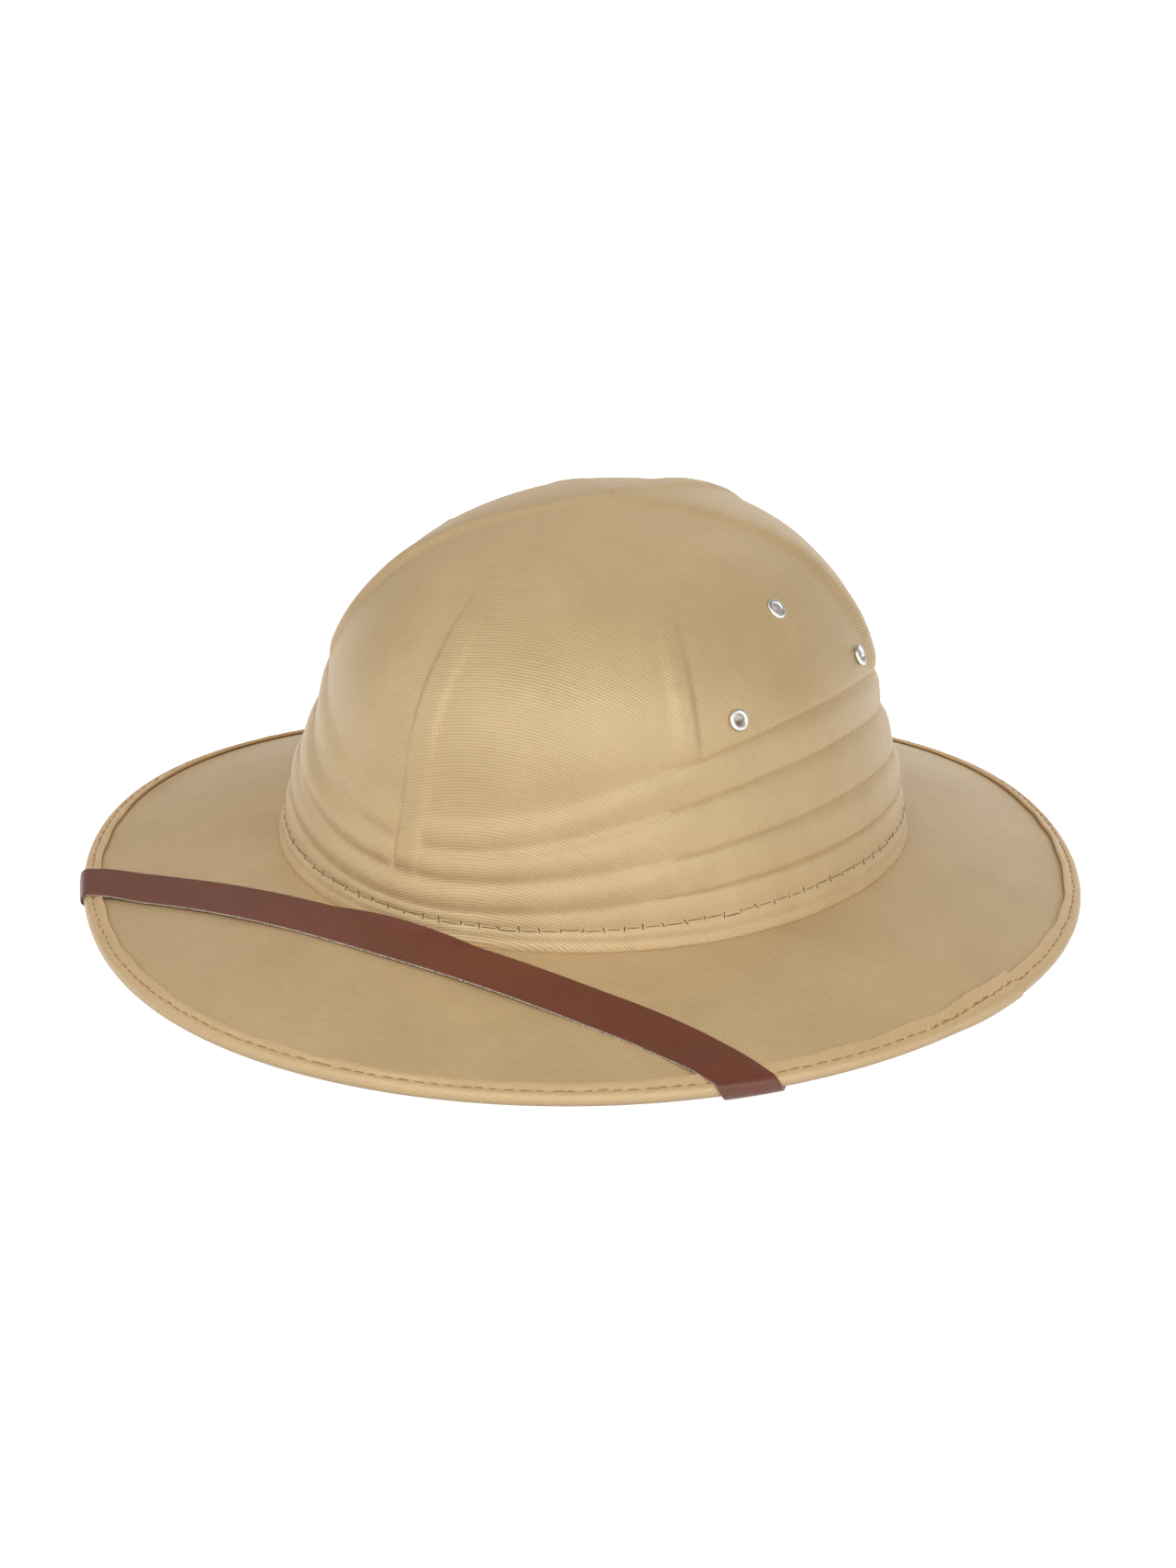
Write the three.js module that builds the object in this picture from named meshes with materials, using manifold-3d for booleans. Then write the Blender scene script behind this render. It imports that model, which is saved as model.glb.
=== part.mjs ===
// Safari hat: a moulded sun helmet covered in cotton twill. Six panels meet at raised strips on the
// dome, rolled folds go round the lower wall, a folded tape binds the brim's rim, and a leatherette
// chin strap lies over the front of the brim.
// Millimetres, +Z up. The shapes are worked out with the hat upright, its front towards -Y and the
// wearer's left towards +X, and then leaned the way the hat settles on a table.
// "turn" is the angle round the crown's axis: 0 at the front, positive towards the wearer's left.

import * as THREE from 'three';
import { mergeVertices } from 'three/addons/utils/BufferGeometryUtils.js';
import loadManifold from 'manifold-3d';

const { PI, sin, cos, tan, hypot, min, max } = Math;
const radians = THREE.MathUtils.degToRad;
const lerp = THREE.MathUtils.lerp;
const smoothstep = THREE.MathUtils.smoothstep;

// Walls and clearances
const gap = 0.3; // left between pieces that touch
const crownWall = 2.2;
const brimWall = 2.4;
const tapeWall = 0.8;
const collarClear = 0.6; // the brim's collar stands this far inside the crown's wall

// Crown: semi-axes of its outer face, from the bottom edge up to the apex
const crownProfile = [
  { height: 0, halfWidth: 91.6, halfLength: 98.6 },
  { height: 11.3, halfWidth: 89.5, halfLength: 98.3 },
  { height: 24.5, halfWidth: 86.4, halfLength: 96.6 },
  { height: 39.7, halfWidth: 81.1, halfLength: 92.4 },
  { height: 54.8, halfWidth: 76.7, halfLength: 89.2 },
  { height: 68.0, halfWidth: 70.8, halfLength: 83.8 },
  { height: 79.3, halfWidth: 62.4, halfLength: 75.2 },
  { height: 88.7, halfWidth: 52.4, halfLength: 64.2 },
  { height: 96.3, halfWidth: 38.6, halfLength: 48.2 },
  { height: 102.0, halfWidth: 20.4, halfLength: 25.9 },
  { height: 105.3, halfWidth: 0, halfLength: 0 },
];
const crownEdgeLift = 18.9; // bottom edge above the level that heights are counted from
const crownEdgeSweep = 1.1; // how far the edge rises from the front to the sides, halved
const crownEdgeNod = 0.5; // how much lower the edge is at the front than its mean
const crownBack = 2.4; // the crown's axis lies behind the brim's centre
const apexBack = 3.0; // and the apex behind that

// Dome panels: flatter than the dome's oval, so that the seams stand up as ridges
const facetLow = 0.04;
const facetHigh = 0.22;
const stripHeight = 1.8;
const stripTopHalf = 3.4; // half the strip's flat top
const stripFootHalf = 5.2; // half its width where it meets the panels
const seams = [
  { turn: radians(0), lastFold: 2 },
  { turn: radians(57), lastFold: 0 },
  { turn: radians(123), lastFold: 0 },
  { turn: radians(180), lastFold: 0 },
  { turn: radians(237), lastFold: 0 },
  { turn: radians(303), lastFold: 0 },
];

// Folds: height of each fold's upper crease above the crown's edge, and how far the fold stands out.
// The last row is the line where the crown is stitched to the brim.
const folds = [
  { front: 35.5, side: 56.3, bulge: 2.4 },
  { front: 25.3, side: 42.3, bulge: 2.4 },
  { front: 17.3, side: 27.7, bulge: 2.2 },
  { front: 10.1, side: 14.3, bulge: 1.2 },
  { front: 6.4, side: 8.0, bulge: 0 },
];
const foldQuarterLift = 0.9; // the creases lie higher between front and side than a plain wave
const foldCrest = 0.28; // where a fold stands out most, from its crease to the next

// Brim: its outline at the rim, and the waves of the rim's height
const rimHalfLength = 167.9;
const rimHalfWidth = 150.0;
const rimEgg = 0.025; // wider towards the front
const rimPoint = 0.024; // drawn in between front and side
const rimWaves = [
  { waves: 1, cosine: 0.9, sine: 0.3 },
  { waves: 2, cosine: -1.9, sine: -2.9 },
  { waves: 3, cosine: 1.1, sine: 0 },
  { waves: 4, cosine: 0.7, sine: 0 },
];
const rimMean = 1.9; // the rim's mean height
const brimBelly = 1.5; // how far the brim curves up between crown and rim
const collarHeight = 10; // the brim's inner collar, inside the crown's wall
const collarWall = 2;
const collarFoot = 1.4; // the collar's inner foot, below the crown's edge

// Rim tape
const tapeWidth = 6.8;
const tapeInside = brimWall / 2 + gap; // inner face, from the brim's middle
const noseRadius = tapeInside + tapeWall;
const lapTurn = radians(91); // where the tape's end covers its start
const lapLength = radians(7);
const lapRise = 0.7; // extra thickness over the lap
const restWidth = 2.2; // flat land along the tape's underside
const landDepth = 0.4; // how far the land reaches below the tape's plain thickness

// Chin strap
const strapWidth = 16;
const strapWall = 1.4;
const strapCrossings = { right: radians(-52), left: radians(54.5) };
const strapRoute = [ // plan positions over the front of the brim
  { x: -100, y: -99.2 },
  { x: -82, y: -101.6 },
  { x: -60, y: -103.8 },
  { x: -30, y: -105.1 },
  { x: 5, y: -105.1 },
  { x: 40, y: -103.6 },
  { x: 66, y: -100.2 },
  { x: 86, y: -96.2 },
  { x: 103, y: -93.8 },
];
const strapEndClear = 0.02; // its ends stop this part of the brim's width short of the crown
const strapHemLean = 2.2; // its inner edge leans this high on the crown's edge

// Ventilation eyelets, on both sides
const eyeletPlaces = [
  { turn: radians(68.2), height: 59.8 },
  { turn: radians(92.5), height: 81.9 },
  { turn: radians(112.6), height: 60.4 },
];
const eyeletFlange = 3.6;
const eyeletBarrel = 2.5;
const eyeletBore = 1.9;

// How the hat settles: it leans until the rim and the strap carry it, and its soft edge flattens
const settle = { about: { x: radians(0.85), y: radians(-1.27) }, sink: 0.35 };

const upAxis = new THREE.Vector3(0, 0, 1);

// ---- Crown ----------------------------------------------------------------------------------------

// Catmull-Rom through the profile's rows at u = 0 (edge) to 1 (apex), mirrored over the apex.
function profileAt(u) {
  const last = crownProfile.length - 1;
  const at = min(max(u, 0), 1) * last;
  const i = min(Math.floor(at), last - 1);
  const f = at - i;
  const [p1, p2] = [crownProfile[i], crownProfile[i + 1]];
  const p0 = crownProfile[max(i - 1, 0)];
  const p3 = crownProfile[min(i + 2, last)];
  const over = i + 2 > last ? -1 : 1;
  const before = i === 0;
  const value = (key) => {
    const a = before ? 2 * p1[key] - p2[key] : p0[key];
    const mirrored = over < 0 ? crownProfile[last - 1][key] * (key === 'height' ? 1 : -1) : p3[key];
    const [b, c, d] = [p1[key], p2[key], mirrored];
    return 0.5 * (2 * b + (c - a) * f + (2 * a - 5 * b + 4 * c - d) * f * f
      + (3 * b - a - 3 * c + d) * f * f * f);
  };
  return { height: value('height'), halfWidth: value('halfWidth'), halfLength: value('halfLength') };
}

// The profile position u at a height above the crown's edge, by halving.
function uAtHeight(height) {
  let [low, high] = [0, 1];
  for (let step = 0; step < 30; step += 1) {
    const middle = (low + high) / 2;
    if (profileAt(middle).height < height) low = middle;
    else high = middle;
  }
  return (low + high) / 2;
}

// 1 at the seams, and the chord of a flat panel between them.
function panelChord(turn) {
  const round = (turn + 2 * PI) % (2 * PI);
  const starts = seams.map((seam) => seam.turn).concat(2 * PI);
  const i = starts.findIndex((start, k) => round >= start && round < starts[k + 1]);
  const half = (starts[i + 1] - starts[i]) / 2;
  return cos(half) / cos(half - (round - starts[i]));
}

// Height of the crown's bottom edge.
function edgeLift(turn) {
  return crownEdgeLift + crownEdgeSweep * (1 - cos(2 * turn)) - crownEdgeNod * cos(turn);
}

function foldHeight(fold, turn) {
  const swing = (fold.side - fold.front) / 2;
  return fold.front + swing * (1 - cos(2 * turn)) + foldQuarterLift * (1 - cos(4 * turn));
}

// A point of the crown, off millimetres outside its plain face.
function crownPoint(turn, u, off = 0) {
  const row = profileAt(u);
  const facet = lerp(facetLow, facetHigh, smoothstep(u, 0.3, 0.9));
  const squash = 1 - facet * (1 - panelChord(turn));
  const out = new THREE.Vector3(row.halfWidth * squash * sin(turn), -row.halfLength * squash * cos(turn), 0);
  const step = 0.002;
  const [below, above] = [profileAt(u - step), profileAt(min(u + step, 1))];
  const slope = new THREE.Vector2(above.height - below.height, below.halfWidth - above.halfWidth).normalize();
  const radius = max(out.length(), 1e-6);
  const lift = row.height + crownEdgeLift + (edgeLift(turn) - crownEdgeLift) * (1 - u);
  out.multiplyScalar(1 + (off * slope.x) / radius);
  return out.add(new THREE.Vector3(0, crownBack + apexBack * u, lift + off * slope.y));
}

// Distance in millimetres, round the crown, from a seam.
function seamDistance(seam, turn, row) {
  const away = Math.atan2(sin(turn - seam.turn), cos(turn - seam.turn));
  return Math.abs(away) * hypot(row.halfLength * sin(seam.turn), row.halfWidth * cos(seam.turn));
}

// How far the moulding stands out of the plain face: rolled folds low down, strips along the seams.
function relief(turn, u) {
  const row = profileAt(u);
  const heights = folds.map((fold) => foldHeight(fold, turn));
  const k = heights.findIndex((height, i) => row.height < height && row.height >= (heights[i + 1] ?? 1e9));
  const along = k < 0 ? 0 : (heights[k] - row.height) / (heights[k] - heights[k + 1]);
  const roll = k < 0 ? 0 : folds[k].bulge * sin(PI * along ** 0.545) ** 0.8;
  let stood = roll;
  for (const seam of seams) {
    const away = seamDistance(seam, turn, row);
    const shape = 1 - smoothstep(away, stripTopHalf, stripFootHalf);
    const foot = lerp(heights[seam.lastFold], heights[seam.lastFold + 1], foldCrest);
    const strip = stripHeight * shape * smoothstep(row.height, foot - 2, foot)
      * (1 - 0.55 * smoothstep(u, 0.82, 1));
    const rollKept = k >= 0 && k < seam.lastFold ? smoothstep(away, stripTopHalf, stripFootHalf + 1.5) : 1;
    stood = max(strip, stood * rollKept);
  }
  return stood;
}

// Turns of the crown's columns at one row: five across each strip and a few across each panel.
function crownColumns(uOf) {
  const turns = [];
  seams.forEach((seam, i) => {
    const next = i + 1 < seams.length ? seams[i + 1].turn : 2 * PI;
    const row = profileAt(uOf(seam.turn));
    const radius = hypot(row.halfLength * sin(seam.turn), row.halfWidth * cos(seam.turn));
    const reach = min(stripFootHalf / max(radius, 1e-6), 0.22 * (next - seam.turn));
    const inner = (reach * stripTopHalf) / stripFootHalf;
    turns.push(seam.turn - reach, seam.turn - inner, seam.turn, seam.turn + inner, seam.turn + reach);
    for (let k = 1; k <= 4; k += 1) turns.push(lerp(seam.turn + reach, next - reach, k / 5));
  });
  return turns;
}

// One ring of the crown's outer or inner face. The inner face follows the moulding.
function crownRing(uOf, inner = false) {
  return crownColumns(uOf).map((turn) => {
    const u = uOf(turn);
    const off = relief(turn, u);
    return crownPoint(turn, u, inner ? off * 0.9 - crownWall : off);
  });
}

// Rows from the bottom edge to the crease of the first fold, each a function of turn.
function foldRows(places) {
  const rows = [() => 0, (turn) => uAtHeight(foldHeight(folds[4], turn))];
  for (let k = 3; k >= 0; k -= 1) {
    for (const place of places) {
      rows.push((turn) => {
        const upper = foldHeight(folds[k], turn);
        return uAtHeight(lerp(upper, foldHeight(folds[k + 1], turn), place));
      });
    }
  }
  return rows;
}

// Rows from the first crease up to just below the apex.
function domeRows(places) {
  return places.map((place) => (turn) => lerp(uAtHeight(foldHeight(folds[0], turn)), 1, place));
}

function crownGeometry() {
  const outside = [
    ...foldRows([0.8, 0.55, foldCrest, 0.1, 0]),
    ...domeRows([0.06, 0.18, 0.32, 0.46, 0.6, 0.73, 0.84, 0.93]),
  ];
  const inside = [...foldRows([foldCrest, 0]), ...domeRows([0.12, 0.32, 0.52, 0.72, 0.9])];
  const rings = [[crownPoint(0, 1)], ...outside.reverse().map((row) => crownRing(row))];
  rings.push(...inside.map((row) => crownRing(row, true)), [crownPoint(0, 1, -crownWall)]);
  return ringsGeometry(rings);
}

// ---- Brim and rim tape ----------------------------------------------------------------------------

// The rim's outermost line: an oval, wider in front and drawn in on the diagonals.
function rimPoint3(turn) {
  const draw = 1 - rimPoint * (1 - cos(4 * turn));
  let lift = rimMean;
  for (const { waves, cosine, sine } of rimWaves) lift += cosine * cos(waves * turn) + sine * sin(waves * turn);
  return new THREE.Vector3(
    rimHalfWidth * sin(turn) * (1 + rimEgg * cos(turn)) * draw, -rimHalfLength * cos(turn) * draw, lift,
  );
}

// The brim's middle surface: w = 0 below the crown's edge, 1 at the outermost line, bellied between.
function brimMiddle(turn, w) {
  const start = crownPoint(turn, 0);
  start.z -= gap + brimWall / 2;
  const point = start.lerp(rimPoint3(turn), w);
  point.z += brimBelly * 4 * w * (1 - w);
  return point;
}

// Directions at a point of the brim: down its slope, and square to it.
function brimFrame(turn, w) {
  const step = 0.01;
  const down = brimMiddle(turn, w + step).sub(brimMiddle(turn, w - step)).normalize();
  const flat = new THREE.Vector3(down.x, down.y, 0).normalize();
  const up = new THREE.Vector3(-flat.x * down.z, -flat.y * down.z, hypot(down.x, down.y)).normalize();
  return { down, up };
}

function brimPoint(turn, w, off) {
  return brimMiddle(turn, w).addScaledVector(brimFrame(turn, w).up, off);
}

// A point in the rim's own section: inward from the outermost line, and off the brim's middle.
function rimSectionPoint(turn, inward, off) {
  const { down, up } = brimFrame(turn, 0.99);
  return rimPoint3(turn).addScaledVector(down, -inward).addScaledVector(up, off);
}

function brimGeometry() {
  const collarOff = crownWall + collarClear;
  const insideOff = collarOff + collarWall;
  const half = brimWall / 2;
  const inner = tapeWall + gap;
  const loops = [
    (turn) => crownPoint(turn, uAtHeight(collarHeight), -collarOff),
    (turn) => crownPoint(turn, 0, -collarOff).add(new THREE.Vector3(0, 0, -gap)),
    ...[0, 0.14, 0.38, 0.68].map((w) => (turn) => brimPoint(turn, w, half)),
    (turn) => rimSectionPoint(turn, inner, half),
    (turn) => rimSectionPoint(turn, inner, -half),
    ...[0.68, 0.38, 0.14, 0].map((w) => (turn) => brimPoint(turn, w, -half)),
    (turn) => crownPoint(turn, 0, -insideOff).add(new THREE.Vector3(0, 0, -collarFoot)),
    (turn) => crownPoint(turn, uAtHeight(collarHeight), -insideOff),
  ];
  const rings = loops.map((loop) => evenTurns(72).map(loop));
  return ringsGeometry([...rings, rings[0]]);
}

// The tape's section round the rim; its underside has a level land that the hat can rest on.
function tapeGeometry() {
  const turns = evenTurns(80).filter((turn) => Math.abs(turn - lapTurn) > radians(2.5));
  turns.push(lapTurn - radians(0.3), lapTurn + radians(0.3), lapTurn - lapLength, lapTurn + radians(3));
  turns.sort((a, b) => a - b);
  const extra = (turn) => (
    turn < lapTurn ? lapRise * smoothstep(turn, lapTurn - 2 * lapLength, lapTurn - lapLength) : 0
  );
  const outer = noseRadius;
  const landStart = 1.4;
  const landDrop = (turn) => restWidth * tan(Math.asin(-brimFrame(turn, 0.99).down.z));
  const loops = [
    (turn) => [tapeWidth, tapeInside],
    (turn) => [tapeWidth + extra(turn), outer - 0.2 + extra(turn)],
    (turn) => [outer, outer + extra(turn)],
    (turn) => [0.6, outer * 0.66 + extra(turn) * 0.8],
    (turn) => [-extra(turn) * 0.6, 0],
    (turn) => [0.5, -outer * 0.62],
    (turn) => [landStart, -outer * 0.87],
    (turn) => [landStart + restWidth, -outer * 0.87 - landDrop(turn)],
    (turn) => [tapeWidth, -outer],
    (turn) => [tapeWidth, -tapeInside],
    (turn) => [tapeWall, -tapeInside],
    (turn) => [tapeWall, tapeInside],
  ];
  const rings = loops.map((loop) => turns.map((turn) => rimSectionPoint(turn, ...loop(turn))));
  return ringsGeometry([...rings, rings[0]]);
}

// ---- Chin strap -----------------------------------------------------------------------------------

// The brim's turn and w under a plan position, by stepping along and across its straight lines.
function brimPlace(x, y) {
  let turn = Math.atan2(x / rimHalfWidth, -y / rimHalfLength);
  let w = 0;
  for (let step = 0; step < 12; step += 1) {
    const [from, to] = [brimMiddle(turn, 0), brimMiddle(turn, 1)];
    const [rx, ry, px, py] = [to.x - from.x, to.y - from.y, x - from.x, y - from.y];
    const length = hypot(rx, ry);
    w = (px * rx + py * ry) / (length * length);
    turn += (py * rx - px * ry) / length / lerp(95, 158, w);
  }
  return { turn, w };
}

// Where the strap crosses the rim: directions along and outward, and the rim's bend there.
function crossing(turn) {
  const [before, at, after] = [rimPoint3(turn - 0.05), rimPoint3(turn), rimPoint3(turn + 0.05)];
  const along = new THREE.Vector3(after.x - before.x, after.y - before.y, 0);
  const length = along.length();
  along.normalize();
  const bow = hypot((before.x + after.x) / 2 - at.x, (before.y + after.y) / 2 - at.y);
  const out = new THREE.Vector3(along.y, -along.x, 0);
  return { at: at.setZ(0), turn, along, out, radius: (length * length) / 8 / bow, length };
}

// A plan point of the strap's course, side millimetres off its middle. It is straight past its ends.
function strapPlan(course, length, side) {
  const whole = course.getLength();
  const t = min(max(length / whole, 0), 1);
  const way = course.getTangentAt(t);
  const across = new THREE.Vector3(-way.y, way.x, 0);
  return course.getPointAt(t).addScaledVector(way, length - t * whole).addScaledVector(across, side);
}

// Where one long edge or the middle of the strap reaches the start of the rim's rounding.
function columnStart(course, rim, side) {
  let [inside, outside] = rim.turn < 0 ? [30, -30] : [course.getLength() - 30, course.getLength() + 30];
  let local = 0;
  for (let step = 0; step < 30; step += 1) {
    const length = (inside + outside) / 2;
    const from = strapPlan(course, length, side).sub(rim.at);
    local = from.dot(rim.along);
    if (from.dot(rim.out) + (local * local) / 2 / rim.radius + noseRadius < 0) inside = length;
    else outside = length;
  }
  return { length: inside, local };
}

// On top of the brim: over the tape near the rim, and leaning on the crown's edge where it touches.
function strapOnTop(plan, past, off) {
  const place = brimPlace(plan.x, plan.y);
  const onTape = 1 - smoothstep(-past, tapeWidth - 2, tapeWidth + 10);
  const lean = strapHemLean * (1 - smoothstep(place.w, 0.0, 0.07));
  return brimPoint(place.turn, place.w, lerp(brimWall / 2 + 0.2, noseRadius, onTape) + off + lean);
}

// Round the rim for half a turn and then straight back under the brim.
function strapBeyond(rim, way, local, past, off) {
  const drift = way.dot(rim.along) / way.dot(rim.out);
  const wrap = PI * noseRadius;
  if (past <= wrap) {
    const swing = past / noseRadius;
    const reach = noseRadius + off + landDepth * smoothstep(swing, 0, PI);
    const turn = rim.turn + ((local + past * drift) / rim.length) * 0.1;
    return rimSectionPoint(turn, noseRadius - reach * sin(swing), reach * cos(swing));
  }
  const bow = (local + wrap * drift) ** 2 / 2 / rim.radius;
  const plan = rim.at.clone().addScaledVector(rim.along, local + past * drift)
    .addScaledVector(rim.out, -(past - wrap + noseRadius + bow));
  const place = brimPlace(plan.x, plan.y);
  const onTape = 1 - smoothstep(past - wrap, tapeWidth - 2, tapeWidth + 10);
  return brimPoint(place.turn, place.w, -lerp(brimWall / 2 + 0.3, noseRadius + landDepth, onTape) - off);
}

// The strap's square end under the brim, as a length along its course. The long edge that comes
// nearest to the crown stops short of it.
function strapEnd(rim, way, starts) {
  const pace = way.dot(rim.out);
  const sign = rim.turn < 0 ? -1 : 1;
  const lengths = starts.map(({ length, local }) => {
    let [under, over] = [20, 110];
    for (let step = 0; step < 20; step += 1) {
      const past = (under + over) / 2;
      const point = strapBeyond(rim, way, local, past, 0);
      if (brimPlace(point.x, point.y).w > strapEndClear) under = past;
      else over = past;
    }
    return sign * length + under / pace;
  });
  return sign * min(...lengths);
}

// Rings of the strap's section from its right end, over the brim, to its left end. The rings are
// askew at the rim, so that each one bends over it all at once.
function strapGeometry() {
  const rims = [strapCrossings.right, strapCrossings.left].map(crossing);
  const between = strapRoute.map((place) => new THREE.Vector3(place.x, place.y, 0));
  const course = new THREE.CatmullRomCurve3([rims[0].at, ...between, rims[1].at]);
  const ways = [course.getTangentAt(0).negate(), course.getTangentAt(1)];
  const columns = [-strapWidth / 2, 0, strapWidth / 2].map((side) => (
    { side, starts: rims.map((rim) => columnStart(course, rim, side)) }
  ));
  const ends = rims.map((rim, i) => strapEnd(rim, ways[i], columns.map((column) => column.starts[i])));
  const ringOf = (place) => [[...columns].reverse().map((column) => place(column, gap)),
    columns.map((column) => place(column, gap + strapWall))].flat();
  const wrap = PI * noseRadius;
  const beyond = (i) => [
    ...[0, 1, 2, 3, 4, 5, 6].map((k) => () => (k * wrap) / 6),
    ...[0.05, 0.1, 0.16, 0.26, 0.42, 0.6, 0.8, 1].map((part) => ({ length }) => (
      lerp(wrap, Math.abs(ends[i] - length) * ways[i].dot(rims[i].out), part)
    )),
  ].map((pastOf) => ringOf(({ starts }, off) => (
    strapBeyond(rims[i], ways[i], starts[i].local, pastOf(starts[i]), off)
  )));
  const top = [];
  for (let k = 1; k < 28; k += 1) {
    top.push(ringOf(({ side, starts }, off) => {
      const length = lerp(starts[0].length, starts[1].length, k / 28);
      const past = max(
        (starts[0].length - length) * ways[0].dot(rims[0].out),
        (length - starts[1].length) * ways[1].dot(rims[1].out),
      );
      return strapOnTop(strapPlan(course, length, side), past, off);
    }));
  }
  return ringsGeometry([...beyond(0).reverse(), ...top, ...beyond(1)], true);
}

// ---- Eyelets --------------------------------------------------------------------------------------

// Stands a shape made along +Z on the crown, square to its face.
function onCrown(geometry, turn, height) {
  const u = uAtHeight(height);
  const step = 0.01;
  const round = crownPoint(turn + step, u).sub(crownPoint(turn - step, u));
  const up = crownPoint(turn, u + step).sub(crownPoint(turn, u - step));
  const out = round.cross(up).normalize();
  geometry.applyQuaternion(new THREE.Quaternion().setFromUnitVectors(upAxis, out));
  return geometry.translate(...crownPoint(turn, u).toArray());
}

function eyeletGeometry() {
  const back = -(crownWall + 1.1);
  const section = [
    [eyeletBore, 0.8], [eyeletBore + 0.5, 1.2], [eyeletFlange - 0.5, 1.1], [eyeletFlange, 0.35],
    [eyeletBarrel, 0.35], [eyeletBarrel, back], [eyeletFlange - 0.3, back], [eyeletFlange - 0.5, back - 0.6],
    [eyeletBore, back - 0.6], [eyeletBore, 0.8],
  ].reverse();
  const lathe = new THREE.LatheGeometry(section.map(([r, z]) => new THREE.Vector2(r, z)), 12);
  return lathe.rotateX(PI / 2);
}

function eyeletHole() {
  return new THREE.CylinderGeometry(eyeletBarrel + gap, eyeletBarrel + gap, 12, 12).rotateX(PI / 2);
}

// ---- Mesh helpers ---------------------------------------------------------------------------------

function evenTurns(count) {
  return Array.from({ length: count }, (_, i) => (2 * PI * i) / count);
}

// A closed surface through rings of points, each ring closed on itself. A ring of one point is a
// pole, a last ring that is the first closes a loop, and capped fills both ends.
function ringsGeometry(rings, capped = false) {
  const positions = [];
  const starts = new Map();
  for (const ring of rings) {
    if (!starts.has(ring)) {
      starts.set(ring, positions.length / 3);
      ring.forEach((point) => positions.push(point.x, point.y, point.z));
    }
  }
  const index = [];
  for (let r = 0; r + 1 < rings.length; r += 1) {
    const [a, b] = [starts.get(rings[r]), starts.get(rings[r + 1])];
    const [na, nb] = [rings[r].length, rings[r + 1].length];
    for (let k = 0; k < max(na, nb); k += 1) {
      const [a0, a1, b0, b1] = [a + (k % na), a + ((k + 1) % na), b + (k % nb), b + ((k + 1) % nb)];
      if (na > 1) index.push(a0, b0, a1);
      if (nb > 1) index.push(a1, b0, b1);
    }
  }
  if (capped) {
    const [first, last] = [starts.get(rings[0]), starts.get(rings.at(-1))];
    for (let k = 1; k + 1 < rings[0].length; k += 1) {
      index.push(first, first + k, first + k + 1);
      index.push(last, last + k + 1, last + k);
    }
  }
  const geometry = new THREE.BufferGeometry();
  geometry.setAttribute('position', new THREE.Float32BufferAttribute(positions, 3));
  geometry.setIndex(index);
  return geometry;
}

function merged(geometry) {
  const bare = geometry.clone();
  bare.deleteAttribute('normal');
  bare.deleteAttribute('uv');
  return mergeVertices(bare, 1e-4);
}

const wasm = await loadManifold();
wasm.setup();

function toManifold(geometry) {
  const bare = merged(geometry);
  return new wasm.Manifold(new wasm.Mesh({
    numProp: 3, vertProperties: bare.attributes.position.array, triVerts: new Uint32Array(bare.index.array),
  }));
}

function fromManifold(solid) {
  const mesh = solid.getMesh();
  const geometry = new THREE.BufferGeometry();
  geometry.setAttribute('position', new THREE.Float32BufferAttribute(mesh.vertProperties, 3));
  geometry.setIndex(Array.from(mesh.triVerts));
  return geometry;
}

// ---- The hat --------------------------------------------------------------------------------------

const cloth = { color: 0xc9ab7c, roughness: 0.85, metalness: 0 };
const tapeCloth = { color: 0xcfb082, roughness: 0.85, metalness: 0 };
const leatherette = { color: 0x6b3d2c, roughness: 0.45, metalness: 0 };
const nickel = { color: 0xc4c4c2, roughness: 0.3, metalness: 1 };

let crownSolid = toManifold(crownGeometry());
const eyelets = [];
for (const [side, sign] of [['left', 1], ['right', -1]]) {
  eyeletPlaces.forEach(({ turn, height }, i) => {
    crownSolid = crownSolid.subtract(toManifold(onCrown(eyeletHole(), sign * turn, height)));
    const geometry = merged(onCrown(eyeletGeometry(), sign * turn, height));
    eyelets.push({ name: `eyelet_${side}_${i + 1}`, geometry, look: nickel });
  });
}

const pieces = [
  { name: 'crown', geometry: fromManifold(crownSolid), look: cloth },
  { name: 'brim', geometry: brimGeometry(), look: cloth },
  { name: 'edge_binding', geometry: tapeGeometry(), look: tapeCloth },
  { name: 'chin_strap', geometry: strapGeometry(), look: leatherette },
  ...eyelets,
];

// Lean the hat, then stand it on z = 0 with its box centred, its lowest edge sunk in a little.
const lean = new THREE.Matrix4().makeRotationX(settle.about.x)
  .multiply(new THREE.Matrix4().makeRotationY(settle.about.y));
const box = new THREE.Box3();
for (const { geometry } of pieces) {
  geometry.applyMatrix4(lean);
  geometry.computeBoundingBox();
  box.union(geometry.boundingBox);
}
const middle = box.getCenter(new THREE.Vector3());

const hat = new THREE.Group();
for (const { name, geometry, look } of pieces) {
  geometry.translate(-middle.x, -middle.y, -box.min.z - settle.sink);
  const place = geometry.attributes.position;
  for (let i = 0; i < place.count; i += 1) place.setZ(i, max(place.getZ(i), 0));
  geometry.computeVertexNormals();
  const mesh = new THREE.Mesh(geometry, new THREE.MeshStandardMaterial(look));
  mesh.name = name;
  hat.add(mesh);
}

export default hat;
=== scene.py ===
# Safari hat: a moulded sun helmet covered in cotton twill, with a bound rim and a chin strap.
# Shapes are worked out in millimetres with the hat upright, its front towards -Y and the wearer's
# left towards +X, then leaned the way the hat settles and written in metres.
# "turn" is the angle round the crown: 0 at the front, positive towards the wearer's left.

import bpy
import numpy as np
from mathutils import Matrix, Vector


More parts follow.
